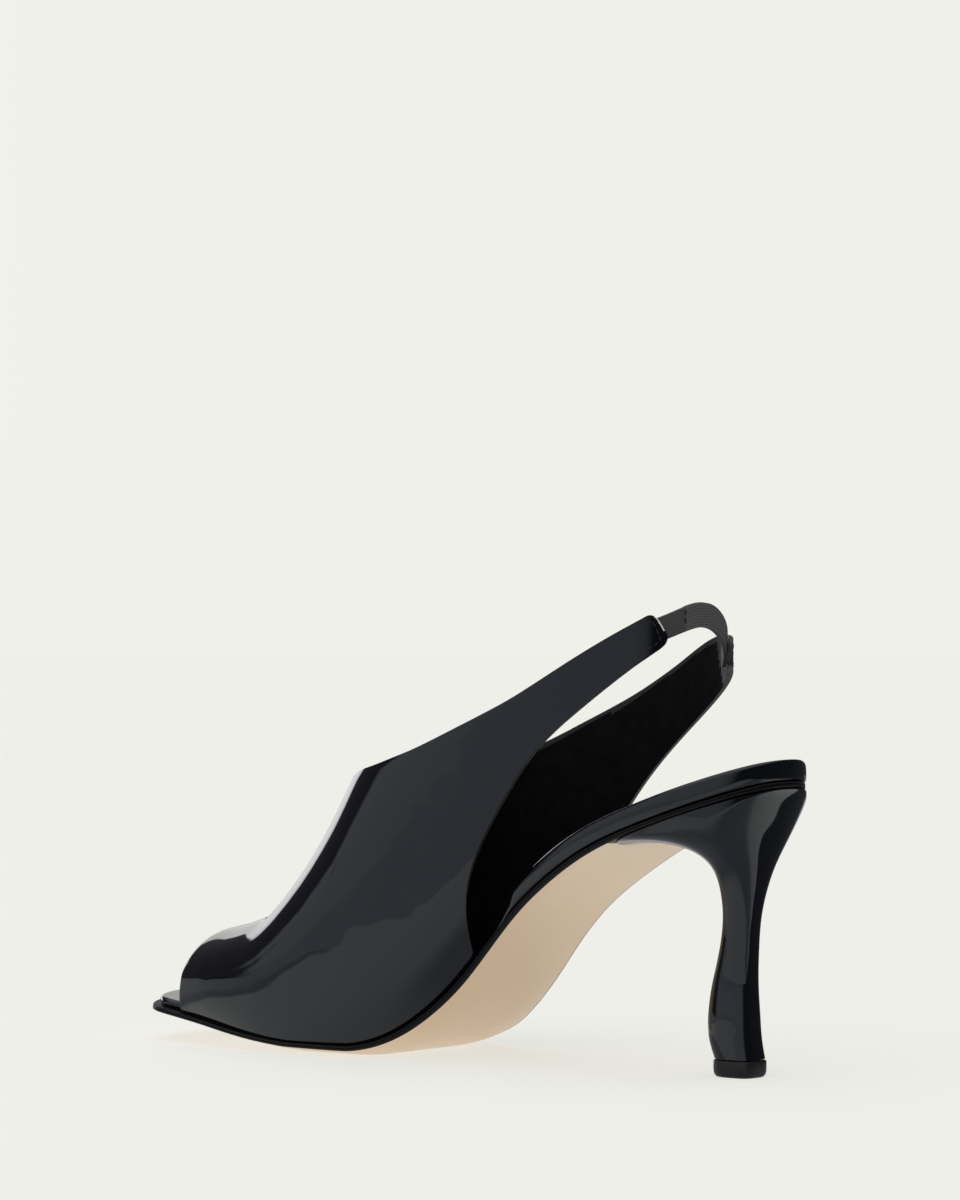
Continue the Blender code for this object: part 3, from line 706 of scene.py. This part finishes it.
HEEL_TOP_LENGTH = 0.0505
HEEL_WAIST_LENGTH = 0.0104
HEEL_WAIST_WIDTH = 0.0093
TIP_LENGTH = 0.0139
TIP_WIDTH = 0.0112
TIP_THICKNESS = 0.0048
TIP_OVERHANG = 0.0003
TIP_TOP = TIP_THICKNESS + GAP
FOLD_ROWS = 0.04
FOLD_LEVEL = 0.012
FOLD_ROUNDING = 0.0007
HEEL_COLUMNS = 144
HEEL_ROWS = 170

HEEL_RINGS = (
    # level, set-in of the back (of HEEL_TOP_LENGTH), length and its share, width and its half share,
    # share of the way up to the sole at the front and back, power of the front and back corners
    (0.00, 0.000, HEEL_TOP_LENGTH, 0.905, SEAT_WIDTH, 0.495, 1.000, 1.000, 5.0, 2.4),
    (0.07, 0.022, HEEL_TOP_LENGTH, 0.838, SEAT_WIDTH, 0.482, 0.990, 0.984, 4.4, 2.4),
    (0.15, 0.051, HEEL_TOP_LENGTH, 0.705, SEAT_WIDTH, 0.462, 0.962, 0.952, 3.6, 2.4),
    (0.24, 0.093, HEEL_TOP_LENGTH, 0.511, SEAT_WIDTH, 0.400, 0.915, 0.893, 3.0, 2.4),
    (0.33, 0.129, HEEL_TOP_LENGTH, 0.356, SEAT_WIDTH, 0.305, 0.856, 0.824, 2.7, 2.5),
    (0.42, 0.160, HEEL_TOP_LENGTH, 0.265, SEAT_WIDTH, 0.200, 0.779, 0.741, 2.5, 2.7),
    (0.51, 0.188, HEEL_WAIST_LENGTH, 1.058, HEEL_WAIST_WIDTH, 0.733, 0.680, 0.650, 2.4, 2.8),
    (0.60, 0.210, HEEL_WAIST_LENGTH, 0.962, HEEL_WAIST_WIDTH, 0.532, 0.578, 0.549, 2.4, 3.0),
    (0.70, 0.224, HEEL_WAIST_LENGTH, 1.019, HEEL_WAIST_WIDTH, 0.500, 0.449, 0.425, 2.4, 3.2),
    (0.80, 0.228, HEEL_WAIST_LENGTH, 1.260, HEEL_WAIST_WIDTH, 0.521, 0.305, 0.286, 2.3, 3.4),
    (0.88, 0.220, TIP_LENGTH, 1.072, TIP_WIDTH, 0.469, 0.179, 0.166, 2.2, 3.5),
    (0.95, 0.210, TIP_LENGTH, 1.072, TIP_WIDTH, 0.491, 0.074, 0.068, 2.2, 3.6),
    (1.00, 0.192, TIP_LENGTH, 1.000, TIP_WIDTH, 0.500, 0.000, 0.000, 2.2, 3.6),
)
heel_rows = [(row[0], SOLE_LENGTH - row[1] * HEEL_TOP_LENGTH, row[2] * row[3], row[4] * row[5]) + row[6:]
             for row in HEEL_RINGS]
heel_curves = [fair_curve(heel_rows, column) for column in range(1, 8)]


def sole_underside(x, y):
    """Height of the face that the heel meets, just under the outsole."""
    half = np.where(x > 0.0, outline_lateral(y), outline_medial(y))
    return np.maximum(line_height(y), 0.0) + sole_lift(y, x / half) - GAP


def heel_spots(angle, level, set_in):
    """Places on the heel's surface at an angle round it and a level from its top (0) to its foot (1)."""
    back, length, half, front_share, back_share, front_power, back_power = [
        curve(level) for curve in heel_curves]
    back = back - set_in
    length = length - 2.0 * set_in
    half = half - set_in
    power = np.where(np.sin(angle) > 0.0, back_power, front_power)
    across = np.abs(np.cos(angle)) ** (2.0 / power) * np.sign(np.cos(angle))
    behind = np.abs(np.sin(angle)) ** (2.0 / power) * np.sign(np.sin(angle))
    y = back + length * (behind - 1.0) / 2.0
    side = np.where(across > 0.0, 1.0, -1.0)
    edge = np.abs(sole_edge(np.minimum(y, SOLE_LENGTH), side, set_in, 0.0, 0.0))
    x = side * np.minimum(np.abs(half * across), edge)
    share = front_share + (back_share - front_share) * (y - back + length) / length
    return np.stack([x, y, TIP_TOP + share * (sole_underside(x, y) - TIP_TOP)], axis=-1)


def heel_shell(u, v):
    """Heel as a tube, with the cover's folded top edge in its first rings."""
    fold = np.clip(v / FOLD_ROWS, 0.0, 1.0)
    set_in = FOLD_ROUNDING * (1.0 - np.sqrt(1.0 - (1.0 - fold) ** 2))
    folded = FOLD_LEVEL * (1.0 - np.sqrt(1.0 - fold ** 2))
    below_fold = FOLD_LEVEL + (v - FOLD_ROWS) / (1.0 - FOLD_ROWS) * (1.0 - FOLD_LEVEL)
    level = np.where(v < FOLD_ROWS, folded, below_fold)
    return heel_spots(2.0 * math.pi * u, level, set_in)


heel = close_tube(sheet("heel_block", HEEL_COLUMNS, HEEL_ROWS, heel_shell))
heel.data.materials.append(patent)
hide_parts("heel")
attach(heel, "root")

# Top piece
# The replaceable tip of hard black rubber, nailed under the heel's foot and
# trimmed a hair larger than it, with its lower edge rounded off.

tip_rubber = finish_material("tip_rubber", (0.008, 0.008, 0.009), 0.40, 0.0, 0.3, 0.3)
add_bump(tip_rubber, "noise", 1800.0, 0.00004)

TIP_COLUMNS = 96
TIP_EDGE = (
    # set-in from the outline, share of the tip's thickness
    (0.00050, 1.000),
    (0.00012, 0.975),
    (0.00000, 0.920),
    (0.00000, 0.500),
    (0.00006, 0.300),
    (0.00030, 0.140),
    (0.00070, 0.040),
    (0.00120, 0.000),
)


def tip_shell(u, v):
    """Tip as a short tube that follows the heel's foot."""
    row = v * (len(TIP_EDGE) - 1)
    table = np.array(TIP_EDGE)
    set_in = np.interp(row, np.arange(len(table)), table[:, 0])
    height = np.interp(row, np.arange(len(table)), table[:, 1]) * TIP_THICKNESS
    spots = heel_spots(2.0 * math.pi * u, np.ones_like(u), set_in - TIP_OVERHANG)
    spots[:, 2] = height
    return spots


tip = close_tube(sheet("heel_tip", TIP_COLUMNS, len(TIP_EDGE) - 1, tip_shell))
tip.data.materials.append(tip_rubber)
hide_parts("top_piece")
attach(tip, "root")

# Upper
# One piece of patent leather glued to a black kid lining and lasted over the
# foot: a high vamp with an open toe, and two wings that narrow into straps.
# All its edges are turned in.

STRAP_HEIGHT = 0.1300
INSTEP_HEIGHT = 0.0830
ANKLE_WIDTH = 0.0592
RING_BACK = SOLE_LENGTH - 0.0270
RING_START = RING_BACK - 0.0475
RING_POWER = 2.8
TUCK_POWER = 2.5
FURTHEST_BELOW = 1.5
NORMAL_STEP = 0.0002
NORMAL_TURN = 0.004

GIRTH = (
    # along, width that the row follows, its lateral and medial shares,
    # widest level and crest (of INSTEP_HEIGHT), power of the section's shoulders
    (0.050, TOE_WIDTH, 0.386, 0.419, 0.215, 0.330, 2.0),
    (0.095, TOE_WIDTH, 0.459, 0.495, 0.225, 0.384, 2.0),
    (0.150, BALL_WIDTH, 0.402, 0.425, 0.232, 0.420, 2.1),
    (0.200, BALL_WIDTH, 0.437, 0.462, 0.235, 0.460, 2.3),
    (0.240, BALL_WIDTH, 0.457, 0.488, 0.238, 0.508, 2.6),
    (0.280, BALL_WIDTH, 0.469, 0.507, 0.245, 0.612, 2.8),
    (0.320, BALL_WIDTH, 0.476, 0.518, 0.260, 0.757, 2.8),
    (0.360, BALL_WIDTH, 0.478, 0.520, 0.290, 0.935, 2.8),
    (0.420, BALL_WIDTH, 0.478, 0.512, 0.360, 1.240, 2.8),
    (0.500, BALL_WIDTH, 0.472, 0.495, 0.480, 1.570, 2.8),
    (0.600, ANKLE_WIDTH, 0.517, 0.526, 0.700, 2.080, 2.8),
    (0.700, ANKLE_WIDTH, 0.503, 0.500, 0.950, 2.650, 2.8),
    (0.850, ANKLE_WIDTH, 0.500, 0.494, 1.200, 3.350, 2.8),
    (1.000, ANKLE_WIDTH, 0.500, 0.494, 1.300, 3.650, 2.8),
)
THROAT = (
    # row, along the last, share of the way down the section
    (0.00, 0.358, 0.00),
    (0.06, 0.361, 0.17),
    (0.12, 0.375, 0.31),
)
TOP_LATERAL = (
    # row, along the last, share of STRAP_HEIGHT
    (0.18, 0.385, 0.619),
    (0.24, 0.400, 0.626),
    (0.32, 0.435, 0.645),
    (0.40, 0.480, 0.669),
    (0.55, 0.575, 0.732),
    (0.68, 0.665, 0.801),
    (0.80, 0.742, 0.875),
    (0.90, 0.805, 0.940),
    (1.00, 0.870, 0.994),
)
TOP_MEDIAL = (
    # row, along the last, share of STRAP_HEIGHT
    (0.18, 0.385, 0.618),
    (0.24, 0.400, 0.625),
    (0.32, 0.435, 0.642),
    (0.40, 0.480, 0.664),
    (0.55, 0.575, 0.728),
    (0.68, 0.665, 0.797),
    (0.80, 0.742, 0.872),
    (0.90, 0.806, 0.930),
    (1.00, 0.892, 0.925),
)
REAR_LATERAL = (
    # row, along the last, share of STRAP_HEIGHT
    (0.56, 0.5730, 0.205),
    (0.61, 0.5860, 0.300),
    (0.68, 0.6110, 0.440),
    (0.75, 0.6510, 0.565),
    (0.82, 0.7060, 0.690),
    (0.88, 0.7650, 0.780),
    (0.94, 0.8280, 0.863),
    (1.00, 0.9000, 0.932),
)
REAR_MEDIAL = (
    # row, along the last, share of STRAP_HEIGHT
    (0.56, 0.5720, 0.205),
    (0.61, 0.5820, 0.300),
    (0.68, 0.6110, 0.430),
    (0.75, 0.6560, 0.550),
    (0.82, 0.7130, 0.660),
    (0.88, 0.7730, 0.752),
    (0.94, 0.8390, 0.830),
    (1.00, 0.9150, 0.880),
)
TOE_OPENING = (
    # row, along the last, share of the way down the section
    (0.00, 0.112, 0.00),
    (0.05, 0.112, 0.24),
    (0.10, 0.108, 0.49),
    (0.15, 0.099, 0.74),
    (0.20, 0.094, 1.00),
)
TOE_ROW = TOE_OPENING[-1][0]
FEATHER_ROW = REAR_LATERAL[0][0]

girth_rows = [(row[0] * SOLE_LENGTH, row[1] * row[2], row[1] * row[3], row[4] * INSTEP_HEIGHT,
               row[5] * INSTEP_HEIGHT, row[6]) for row in GIRTH]
girth_lateral, girth_medial, girth_level, girth_crest, shoulder_power = [
    fair_curve(girth_rows, column) for column in range(1, 6)]


def top_station(y):
    """Station of the sole whose point on the outsole's top lies at y."""
    station = np.asarray(y, dtype=float)
    for _ in range(8):
        along, _height = sole_place(station, outsole_thickness(station) + GAP)
        station = station + (y - along)
    return station


def feather_angle(y):
    """Section angle of the upper's lower edge, just over the outsole."""
    station = top_station(y)
    height = sole_place(station, outsole_thickness(station) + GAP)[1]
    return -(girth_level(y) - height) / (girth_crest(y) - girth_level(y))


def height_angle(y, height):
    """Section angle at which the upper has a given height."""
    rise = (height - girth_level(y)) / (girth_crest(y) - girth_level(y))
    up = np.clip(rise, 0.0, 1.0)
    across = (1.0 - up ** shoulder_power(y)) ** (1.0 / shoulder_power(y))
    return np.where(rise < 0.0, rise, np.arctan2(up, across))


def oval(angle, power):
    """Point of a unit oval at an angle: along its width, then its height."""
    across = np.maximum(np.cos(angle), 0.0)
    up = np.maximum(np.sin(angle), 0.0)
    reach = (across ** power + up ** power) ** (1.0 / power)
    return across / reach, up / reach


def last_spots(y, angle, side):
    """Places on the last: y runs along it, then round the ring behind the ankle."""
    level = girth_level(y)
    reach = girth_crest(y) - level
    full = np.where(side > 0, girth_lateral(y), girth_medial(y))
    across, up = oval(np.maximum(angle, 0.0), shoulder_power(y))
    foot = np.abs(sole_edge(top_station(y), side, SOLE_LIP, 0.0, 0.0))
    lowest = feather_angle(y)
    reaches_below = lowest < 0.0
    below = np.minimum(angle, 0.0) / np.where(reaches_below, lowest, -1.0)
    below = np.where(reaches_below, np.clip(below, 0.0, FURTHEST_BELOW), 0.0)
    width = full * across - np.where(angle < 0.0, (full - foot) * below ** TUCK_POWER, 0.0)
    height = level + reach * np.where(angle < 0.0, angle, up)
    turn = np.clip((y - RING_START) / (RING_BACK - RING_START), 0.0, math.pi / 2.0)
    sideways, behind = oval(turn, RING_POWER)
    along = np.where(y > RING_START, RING_START + (RING_BACK - RING_START) * behind, y)
    return np.stack([side * width * sideways, along, height], axis=-1)


def last_normals(y, angle, side):
    """Directions that face out of the last."""
    along = last_spots(y + NORMAL_STEP, angle, side) - last_spots(y - NORMAL_STEP, angle, side)
    up = last_spots(y, angle + NORMAL_TURN, side) - last_spots(y, angle - NORMAL_TURN, side)
    normal = np.cross(along, up) * np.asarray(side)[..., None]
    return normal / np.linalg.norm(normal, axis=-1, keepdims=True)


CREASES = (
    # middle along the last (of SOLE_LENGTH), its height (of INSTEP_HEIGHT), side (1 is the outer),
    # slant in degrees up from the last's length, half length, half width, depth (a ridge is below 0)
    (0.118, 0.290, 1.0, 85.0, 0.0045, 0.0016, 0.00012),
    (0.139, 0.285, 1.0, 96.0, 0.0050, 0.0018, -0.00010),
    (0.161, 0.275, 1.0, 80.0, 0.0045, 0.0018, 0.00010),
    (0.226, 0.440, 1.0, 68.0, 0.0090, 0.0030, 0.00008),
    (0.258, 0.500, 1.0, 74.0, 0.0100, 0.0030, -0.00006),
    (0.228, 0.440, -1.0, 70.0, 0.0090, 0.0030, 0.00008),
    (0.260, 0.500, -1.0, 72.0, 0.0100, 0.0030, -0.00006),
    (0.345, 0.330, 1.0, 38.0, 0.0300, 0.0080, 0.00006),
    (0.352, 0.330, -1.0, 35.0, 0.0300, 0.0080, 0.00010),
    (0.455, 0.620, 1.0, 55.0, 0.0200, 0.0070, -0.00006),
    (0.520, 0.760, 1.0, 42.0, 0.0250, 0.0070, 0.00009),
    (0.525, 0.760, -1.0, 40.0, 0.0250, 0.0070, 0.00012),
)
CREASES_START = 0.12
CREASES_STOP = 0.20
CREASES_END = 0.03
CREASE_STEP = 0.001
CREASE_TURN = 0.01


def creased(y, angle, side, fade):
    """Places on the last, pressed in or out by the creases by a share that fades at the edges."""
    spots = last_spots(y, angle, side)
    press = np.zeros(len(spots))
    for along, height, hand, slant, half_length, half_width, depth in CREASES:
        at = np.array([along * SOLE_LENGTH])
        turn = height_angle(at, height * INSTEP_HEIGHT)
        middle = last_spots(at, turn, hand)[0]
        backward = last_spots(at + CREASE_STEP, turn, hand)[0] - middle
        upward = last_spots(at, turn + CREASE_TURN, hand)[0] - middle
        run = (math.cos(math.radians(slant)) * backward / np.linalg.norm(backward)
               + math.sin(math.radians(slant)) * upward / np.linalg.norm(upward))
        run = run / np.linalg.norm(run)
        lengthwise = (spots - middle) @ run
        crosswise = np.linalg.norm(spots - middle - lengthwise[:, None] * run, axis=1)
        press += depth * np.exp(-(lengthwise / half_length) ** 2 - (crosswise / half_width) ** 2)
    return spots - last_normals(y, angle, side) * (press * fade)[:, None]


def pattern_curves(side):
    """Top line, lower edge and toe opening of one half of the upper, as curves over its rows."""
    top_table = TOP_LATERAL if side > 0 else TOP_MEDIAL
    rear_table = REAR_LATERAL if side > 0 else REAR_MEDIAL
    top_rows = [(row, along * SOLE_LENGTH, math.pi / 2.0 * (1.0 - share)) for row, along, share in THROAT]
    for row, along, height in top_table:
        y = along * SOLE_LENGTH
        top_rows.append((row, y, float(height_angle(y, height * STRAP_HEIGHT))))
    rear_rows = []
    for row, along, height in rear_table:
        y = along * SOLE_LENGTH
        angle = max(float(height_angle(y, height * STRAP_HEIGHT)), float(feather_angle(y)))
        rear_rows.append((row, y, angle))
    opening_rows = [(row, along * SOLE_LENGTH, share) for row, along, share in TOE_OPENING]
    return [fair_curve(rows, column) for rows in (top_rows, rear_rows, opening_rows) for column in (1, 2)]


def pattern_place(row, share, side):
    """Place on the last, as y and section angle, of a row of the upper and a share of the way down it."""
    top_y, top_angle, rear_y, rear_angle, opening_y, opening_share = pattern_curves(side)
    toe_end = float(opening_y(TOE_ROW))
    rear_start = float(rear_y(FEATHER_ROW))
    feather_y = toe_end + (rear_start - toe_end) * (row - TOE_ROW) / (FEATHER_ROW - TOE_ROW)
    low_y = np.where(row <= TOE_ROW, opening_y(row), np.where(row <= FEATHER_ROW, feather_y, rear_y(row)))
    to_sole = math.pi / 2.0 + opening_share(row) * (feather_angle(low_y) - math.pi / 2.0)
    past_toe = np.where(row <= FEATHER_ROW, feather_angle(low_y), rear_angle(row))
    low_angle = np.where(row <= TOE_ROW, to_sole, past_toe)
    y = top_y(row) + (low_y - top_y(row)) * share
    angle = top_angle(row) + (low_angle - top_angle(row)) * share
    return y, angle


STRAP_CORNER = 0.0021
STRAP_END_WIDTH = 0.0080
LAST_ROWS = 0.10
LAST_ROWS_LENGTH = 0.0146


def strap_reach(reach, v):
    """Rows of the upper near a strap's end, drawn back at its corners so that the end is a round tongue."""
    straight = 1.0 - 2.0 * STRAP_CORNER / STRAP_END_WIDTH
    beyond = np.clip((np.abs(2.0 * v - 1.0) - straight) / (1.0 - straight), 0.0, 1.0)
    back = LAST_ROWS * STRAP_CORNER / LAST_ROWS_LENGTH * (1.0 - np.sqrt(1.0 - beyond ** 2))
    near_end = np.clip((np.abs(reach) - 1.0 + LAST_ROWS) / LAST_ROWS, 0.0, 1.0)
    return np.abs(reach) - back * near_end


UPPER_COLUMNS = 420
UPPER_ROWS = 56
# Share of their width that the first and last columns keep; the narrow first column carries the painted
# highlight along the near strap's end.
NARROW_END_COLUMN_SHARE = 0.45
SAME_PLACE = 0.000001
EDGE_ROUNDING = 0.0004
EDGE_ANGLE = math.radians(55.0)
WALL_ANGLE = math.radians(50.0)
FACING_START = 0.962
FACING_SLANT = 0.014
TURNED_STRIP = 0.0017
# Painted highlight along the near strap's end: its column, and how far down the strap it runs.
HIGHLIGHT_COLUMN = 0.0024
HIGHLIGHT_TOP = 0.10
HIGHLIGHT_BOTTOM = 0.62


def upper_spots(u, v):
    """Outer face of the upper: v runs down from the top line, u from strap end to strap end."""
    first = 1.0 / UPPER_COLUMNS
    u = np.where(np.abs(u - first) < SAME_PLACE, first * NARROW_END_COLUMN_SHARE, u)
    u = np.where(np.abs(1.0 - first - u) < SAME_PLACE, 1.0 - first * NARROW_END_COLUMN_SHARE, u)
    reach = u * 2.0 - 1.0
    spots = np.zeros((len(u), 3))
    for side in (1.0, -1.0):
        chosen = reach * -side >= 0.0
        y, angle = pattern_place(strap_reach(reach, v)[chosen], v[chosen], side)
        fade = smooth_step(v[chosen], 0.0, CREASES_START)
        fade = fade * smooth_step(1.0 - v[chosen], CREASES_END, CREASES_STOP)
        spots[chosen] = creased(y, angle, side, fade)
    return spots


upper = sheet("upper", UPPER_COLUMNS, UPPER_ROWS, upper_spots)
lining = finish_material("kid_lining", (0.004, 0.004, 0.0045), 0.70, 0.0, 0.3, 0.06)
add_mottle(lining, (0.0030, 0.0028, 0.0036), (0.0062, 0.0058, 0.0068), 220.0)
add_bump(lining, "cells", 1300.0, 0.00006)
turned_edge = finish_material("turned_edge", (0.017, 0.0155, 0.0145), 0.45, 0.0, 0.3, 0.3)
add_bump(turned_edge, "noise", 1400.0, 0.00003)
# Pale paint standing in for the white highlight along the near strap's end: a painted highlight.
strap_end_painted_highlight = finish_material("strap_end_highlight_paint", (0.80, 0.78, 0.74), 0.5, 0.0, 0.3)
add_mottle(strap_end_painted_highlight, (0.62, 0.60, 0.56), (0.88, 0.86, 0.82), 900.0)
facing = finish_material("strap_facing", (0.011, 0.0105, 0.0105), 0.34, 0.0, 0.3, 0.5)
add_mottle(facing, (0.008, 0.0078, 0.0078), (0.015, 0.0145, 0.014), 180.0)
add_bump(facing, "noise", 110.0, 0.00025)
LINED, TURNED, PAINTED_HIGHLIGHT, FACED = range(1, 5)
for material in (patent, lining, turned_edge, strap_end_painted_highlight, facing):
    upper.data.materials.append(material)
wall = upper.modifiers.new("wall", "SOLIDIFY")
wall.thickness = UPPER_WALL
wall.offset = -1.0
wall.material_offset = LINED
wall.material_offset_rim = TURNED
bpy.ops.object.modifier_apply(modifier="wall")
edge = upper.modifiers.new("edge", "BEVEL")
edge.width = EDGE_ROUNDING
edge.segments = 3
edge.limit_method = "ANGLE"
edge.angle_limit = EDGE_ANGLE
bpy.ops.object.modifier_apply(modifier="edge")
bpy.ops.object.shade_smooth_by_angle(angle=WALL_ANGLE)
layer = upper.data.uv_layers.active.data
middle = np.array([[sum(layer[i].uv[axis] for i in face.loop_indices) / face.loop_total for axis in (0, 1)]
                   for face in upper.data.polygons])
top_line = upper_spots(middle[:, 0], np.zeros(len(middle)))
down_the_wall = np.linalg.norm(upper_spots(middle[:, 0], middle[:, 1]) - top_line, axis=1)
for face, (u, v), down in zip(upper.data.polygons, middle, down_the_wall):
    if face.material_index == LINED and abs(u - 0.5) > FACING_START - 0.5 + FACING_SLANT * (v - 0.5):
        face.material_index = FACED
    if face.material_index == LINED and down < TURNED_STRIP:
        face.material_index = TURNED
    # Outer and rim faces along the near strap's end take the painted highlight.
    if face.material_index != LINED and u < HIGHLIGHT_COLUMN and HIGHLIGHT_TOP < v < HIGHLIGHT_BOTTOM:
        face.material_index = PAINTED_HIGHLIGHT
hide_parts("upper")
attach(upper, "root")

# Elastic
# A ribbed black elastic behind the ankle. Its ends are stitched between the
# strap and its lining, and a smooth tab covers it as far as a seam.

ELASTIC_WIDTH = 0.0068
ELASTIC_THICKNESS = 0.0012
ELASTIC_OVERLAP = 0.0090
ELASTIC_RIBS = 9
RIB_HEIGHT = 0.00007
RIB_ROWS = 8
ELASTIC_COLUMNS = 160
TAB_SEAM = 0.345
TAB_END = 0.355
BACK_MARGIN = 0.0003
ELASTIC_LINE = (
    # way round, share of STRAP_HEIGHT
    (0.00, 0.935),
    (0.22, 0.964),
    (0.45, 0.985),
    (0.62, 0.982),
    (0.80, 0.950),
    (1.00, 0.895),
)
elastic_line = fair_curve(ELASTIC_LINE, 1)
ring_end = RING_START + (RING_BACK - RING_START) * math.pi / 2.0
elastic_near = ring_end - TOP_LATERAL[-1][1] * SOLE_LENGTH + ELASTIC_OVERLAP
elastic_far = ring_end - TOP_MEDIAL[-1][1] * SOLE_LENGTH + ELASTIC_OVERLAP


def elastic_spots(way, up, depth):
    """Places in the elastic: its way round the back, a height on it and a depth under the straps."""
    run = way * (elastic_near + elastic_far) - elastic_near
    side = np.where(run < 0.0, 1.0, -1.0)
    y = ring_end - np.abs(run)
    height = elastic_line(way) * STRAP_HEIGHT + up
    angle = height_angle(y, height)
    normal = last_normals(np.minimum(y, ring_end - BACK_MARGIN), angle, side)
    return last_spots(y, angle, side) - normal * depth[:, None]


def elastic_face(u, v):
    """Outer face of the elastic, with its ribs as low waves past the tab."""
    rib = RIB_HEIGHT * (0.5 - 0.5 * np.cos(2.0 * math.pi * ELASTIC_RIBS * v))
    past_seam = smooth_step(u, TAB_SEAM, TAB_END)
    return elastic_spots(u, (0.5 - v) * ELASTIC_WIDTH, UPPER_WALL + GAP + rib * past_seam)


elastic = sheet("elastic_band", ELASTIC_COLUMNS, ELASTIC_RIBS * RIB_ROWS, elastic_face)
elastic_yarn = finish_material("elastic_yarn", (0.070, 0.069, 0.073), 0.60, 0.0, 0.3, 0.3)
add_bump(elastic_yarn, "noise", 3000.0, 0.00003)
tree = elastic_yarn.node_tree
own_map = tree.nodes.new("ShaderNodeUVMap")
split = tree.nodes.new("ShaderNodeSeparateXYZ")
tree.links.new(own_map.outputs[0], split.inputs[0])
# The ribs are painted in lighter and darker stripes that follow the rib waves: painted light and shade.
waves = worked_out("MULTIPLY", split.outputs["Y"], ELASTIC_RIBS * 2.0)
rise_and_fall = worked_out("PINGPONG", waves, 1.0)
past_seam = way_up(split.outputs["X"], TAB_SEAM, TAB_END, "LINEAR")
tab_tone = (0.062, 0.062, 0.064, 1.0)
painted_rib_light = (0.130, 0.128, 0.133, 1.0)
painted_rib_shading = laid_over(tab_tone, painted_rib_light, rise_and_fall)
tone = laid_over(tab_tone, painted_rib_shading, past_seam)
tree.links.new(tone, tree.nodes["Principled BSDF"].inputs["Base Color"])
elastic.data.materials.append(elastic_yarn)
band = elastic.modifiers.new("band", "SOLIDIFY")
band.thickness = ELASTIC_THICKNESS
band.offset = 1.0
bpy.ops.object.modifier_apply(modifier="band")
bpy.ops.object.shade_smooth_by_angle(angle=WALL_ANGLE)
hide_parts("elastic")
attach(elastic, "root")

# Stitches
# Waxed black thread. A row runs round the end of each strap, 1.5 mm inside its
# edge, and two short seams hold the elastic's smooth tab.

HALF_THREAD = 0.00017
STITCH = 0.0016
STITCH_PITCH = 0.0022
STITCH_INSET = 0.0015
STITCH_RUN = 0.048
STITCH_COLUMNS = 10
STITCH_ROWS = 8
STITCH_BLUNTNESS = 3
SEAM_INSET = 0.0007
SEAM_WAYS = (0.352, 0.345)
SIDE_POINTS = 60
END_POINTS = 40
SEAM_POINTS = 30
near_strap_faces = np.array((0.75, 0.65, 0.0))
far_strap_faces = np.array((-0.75, 0.65, 0.0))
tab_faces = np.array((0.6, 0.8, 0.0))
thread = finish_material("waxed_thread", (0.012, 0.012, 0.013), 0.50, 0.0, 0.3, 0.35)
add_bump(thread, "noise", 2500.0, 0.00005, (1.0, 1.0, 4.0))

inside = STITCH_INSET / STRAP_END_WIDTH
end_inset = STITCH_INSET * LAST_ROWS / LAST_ROWS_LENGTH / 2.0


def strap_row(side):
    """Places of the row round a strap's end: out along its top edge, round its end and back below."""
    run = np.concatenate([np.linspace(STITCH_RUN, end_inset, SIDE_POINTS), np.full(END_POINTS, end_inset),
                          np.linspace(end_inset, STITCH_RUN, SIDE_POINTS)])
    down = np.concatenate([np.full(SIDE_POINTS, inside), np.linspace(inside, 1.0 - inside, END_POINTS),
                           np.full(SIDE_POINTS, 1.0 - inside)])
    u = run if side > 0 else 1.0 - run
    return upper_spots(u, down)


def seam_row(way):
    """Places of a seam across the elastic."""
    up = np.linspace(ELASTIC_WIDTH / 2.0 - SEAM_INSET, SEAM_INSET - ELASTIC_WIDTH / 2.0, SEAM_POINTS)
    return elastic_spots(np.full(SEAM_POINTS, way), up, np.full(SEAM_POINTS, UPPER_WALL + GAP))


def stitched(path, outward):
    """Adds short capsules of thread along a path, a pitch apart, lying on the surface."""
    steps = np.linalg.norm(np.diff(path, axis=0), axis=1)
    run = np.concatenate([[0.0], np.cumsum(steps)])
    made = []
    for start in np.arange(0.0, run[-1] - STITCH, STITCH_PITCH):
        ends = [np.array([np.interp(at, run, path[:, axis]) for axis in range(3)])
                for at in (start, start + STITCH)]
        middle_point = (ends[0] + ends[1]) / 2.0
        along = (ends[1] - ends[0]) / np.linalg.norm(ends[1] - ends[0])
        across = np.cross(along, outward)
        across = across / np.linalg.norm(across)
        off = np.cross(across, along)

        def capsule(u, v):
            reach = np.cos(math.pi * v)
            thick = HALF_THREAD * np.sqrt(np.clip(1.0 - np.abs(reach) ** STITCH_BLUNTNESS, 0.0, 1.0))
            ring_angle = 2.0 * math.pi * u
            return (middle_point + along * (reach * STITCH / 2.0)[:, None]
                    + across * (thick * np.cos(ring_angle))[:, None]
                    + off * (thick * np.sin(ring_angle))[:, None])

        made.append(close_tube(sheet("stitch", STITCH_COLUMNS, STITCH_ROWS, capsule)))
    return made


made = stitched(strap_row(1.0), near_strap_faces)
made += stitched(strap_row(-1.0), far_strap_faces)
for way in SEAM_WAYS:
    made += stitched(seam_row(way), tab_faces)
bpy.ops.object.select_all(action="DESELECT")
for stitch in made:
    stitch.select_set(True)
bpy.context.view_layer.objects.active = made[0]
bpy.ops.object.join()
stitches = bpy.context.object
stitches.name = "strap_stitches"
stitches.data.materials.clear()
stitches.data.materials.append(thread)
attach(stitches, "root")
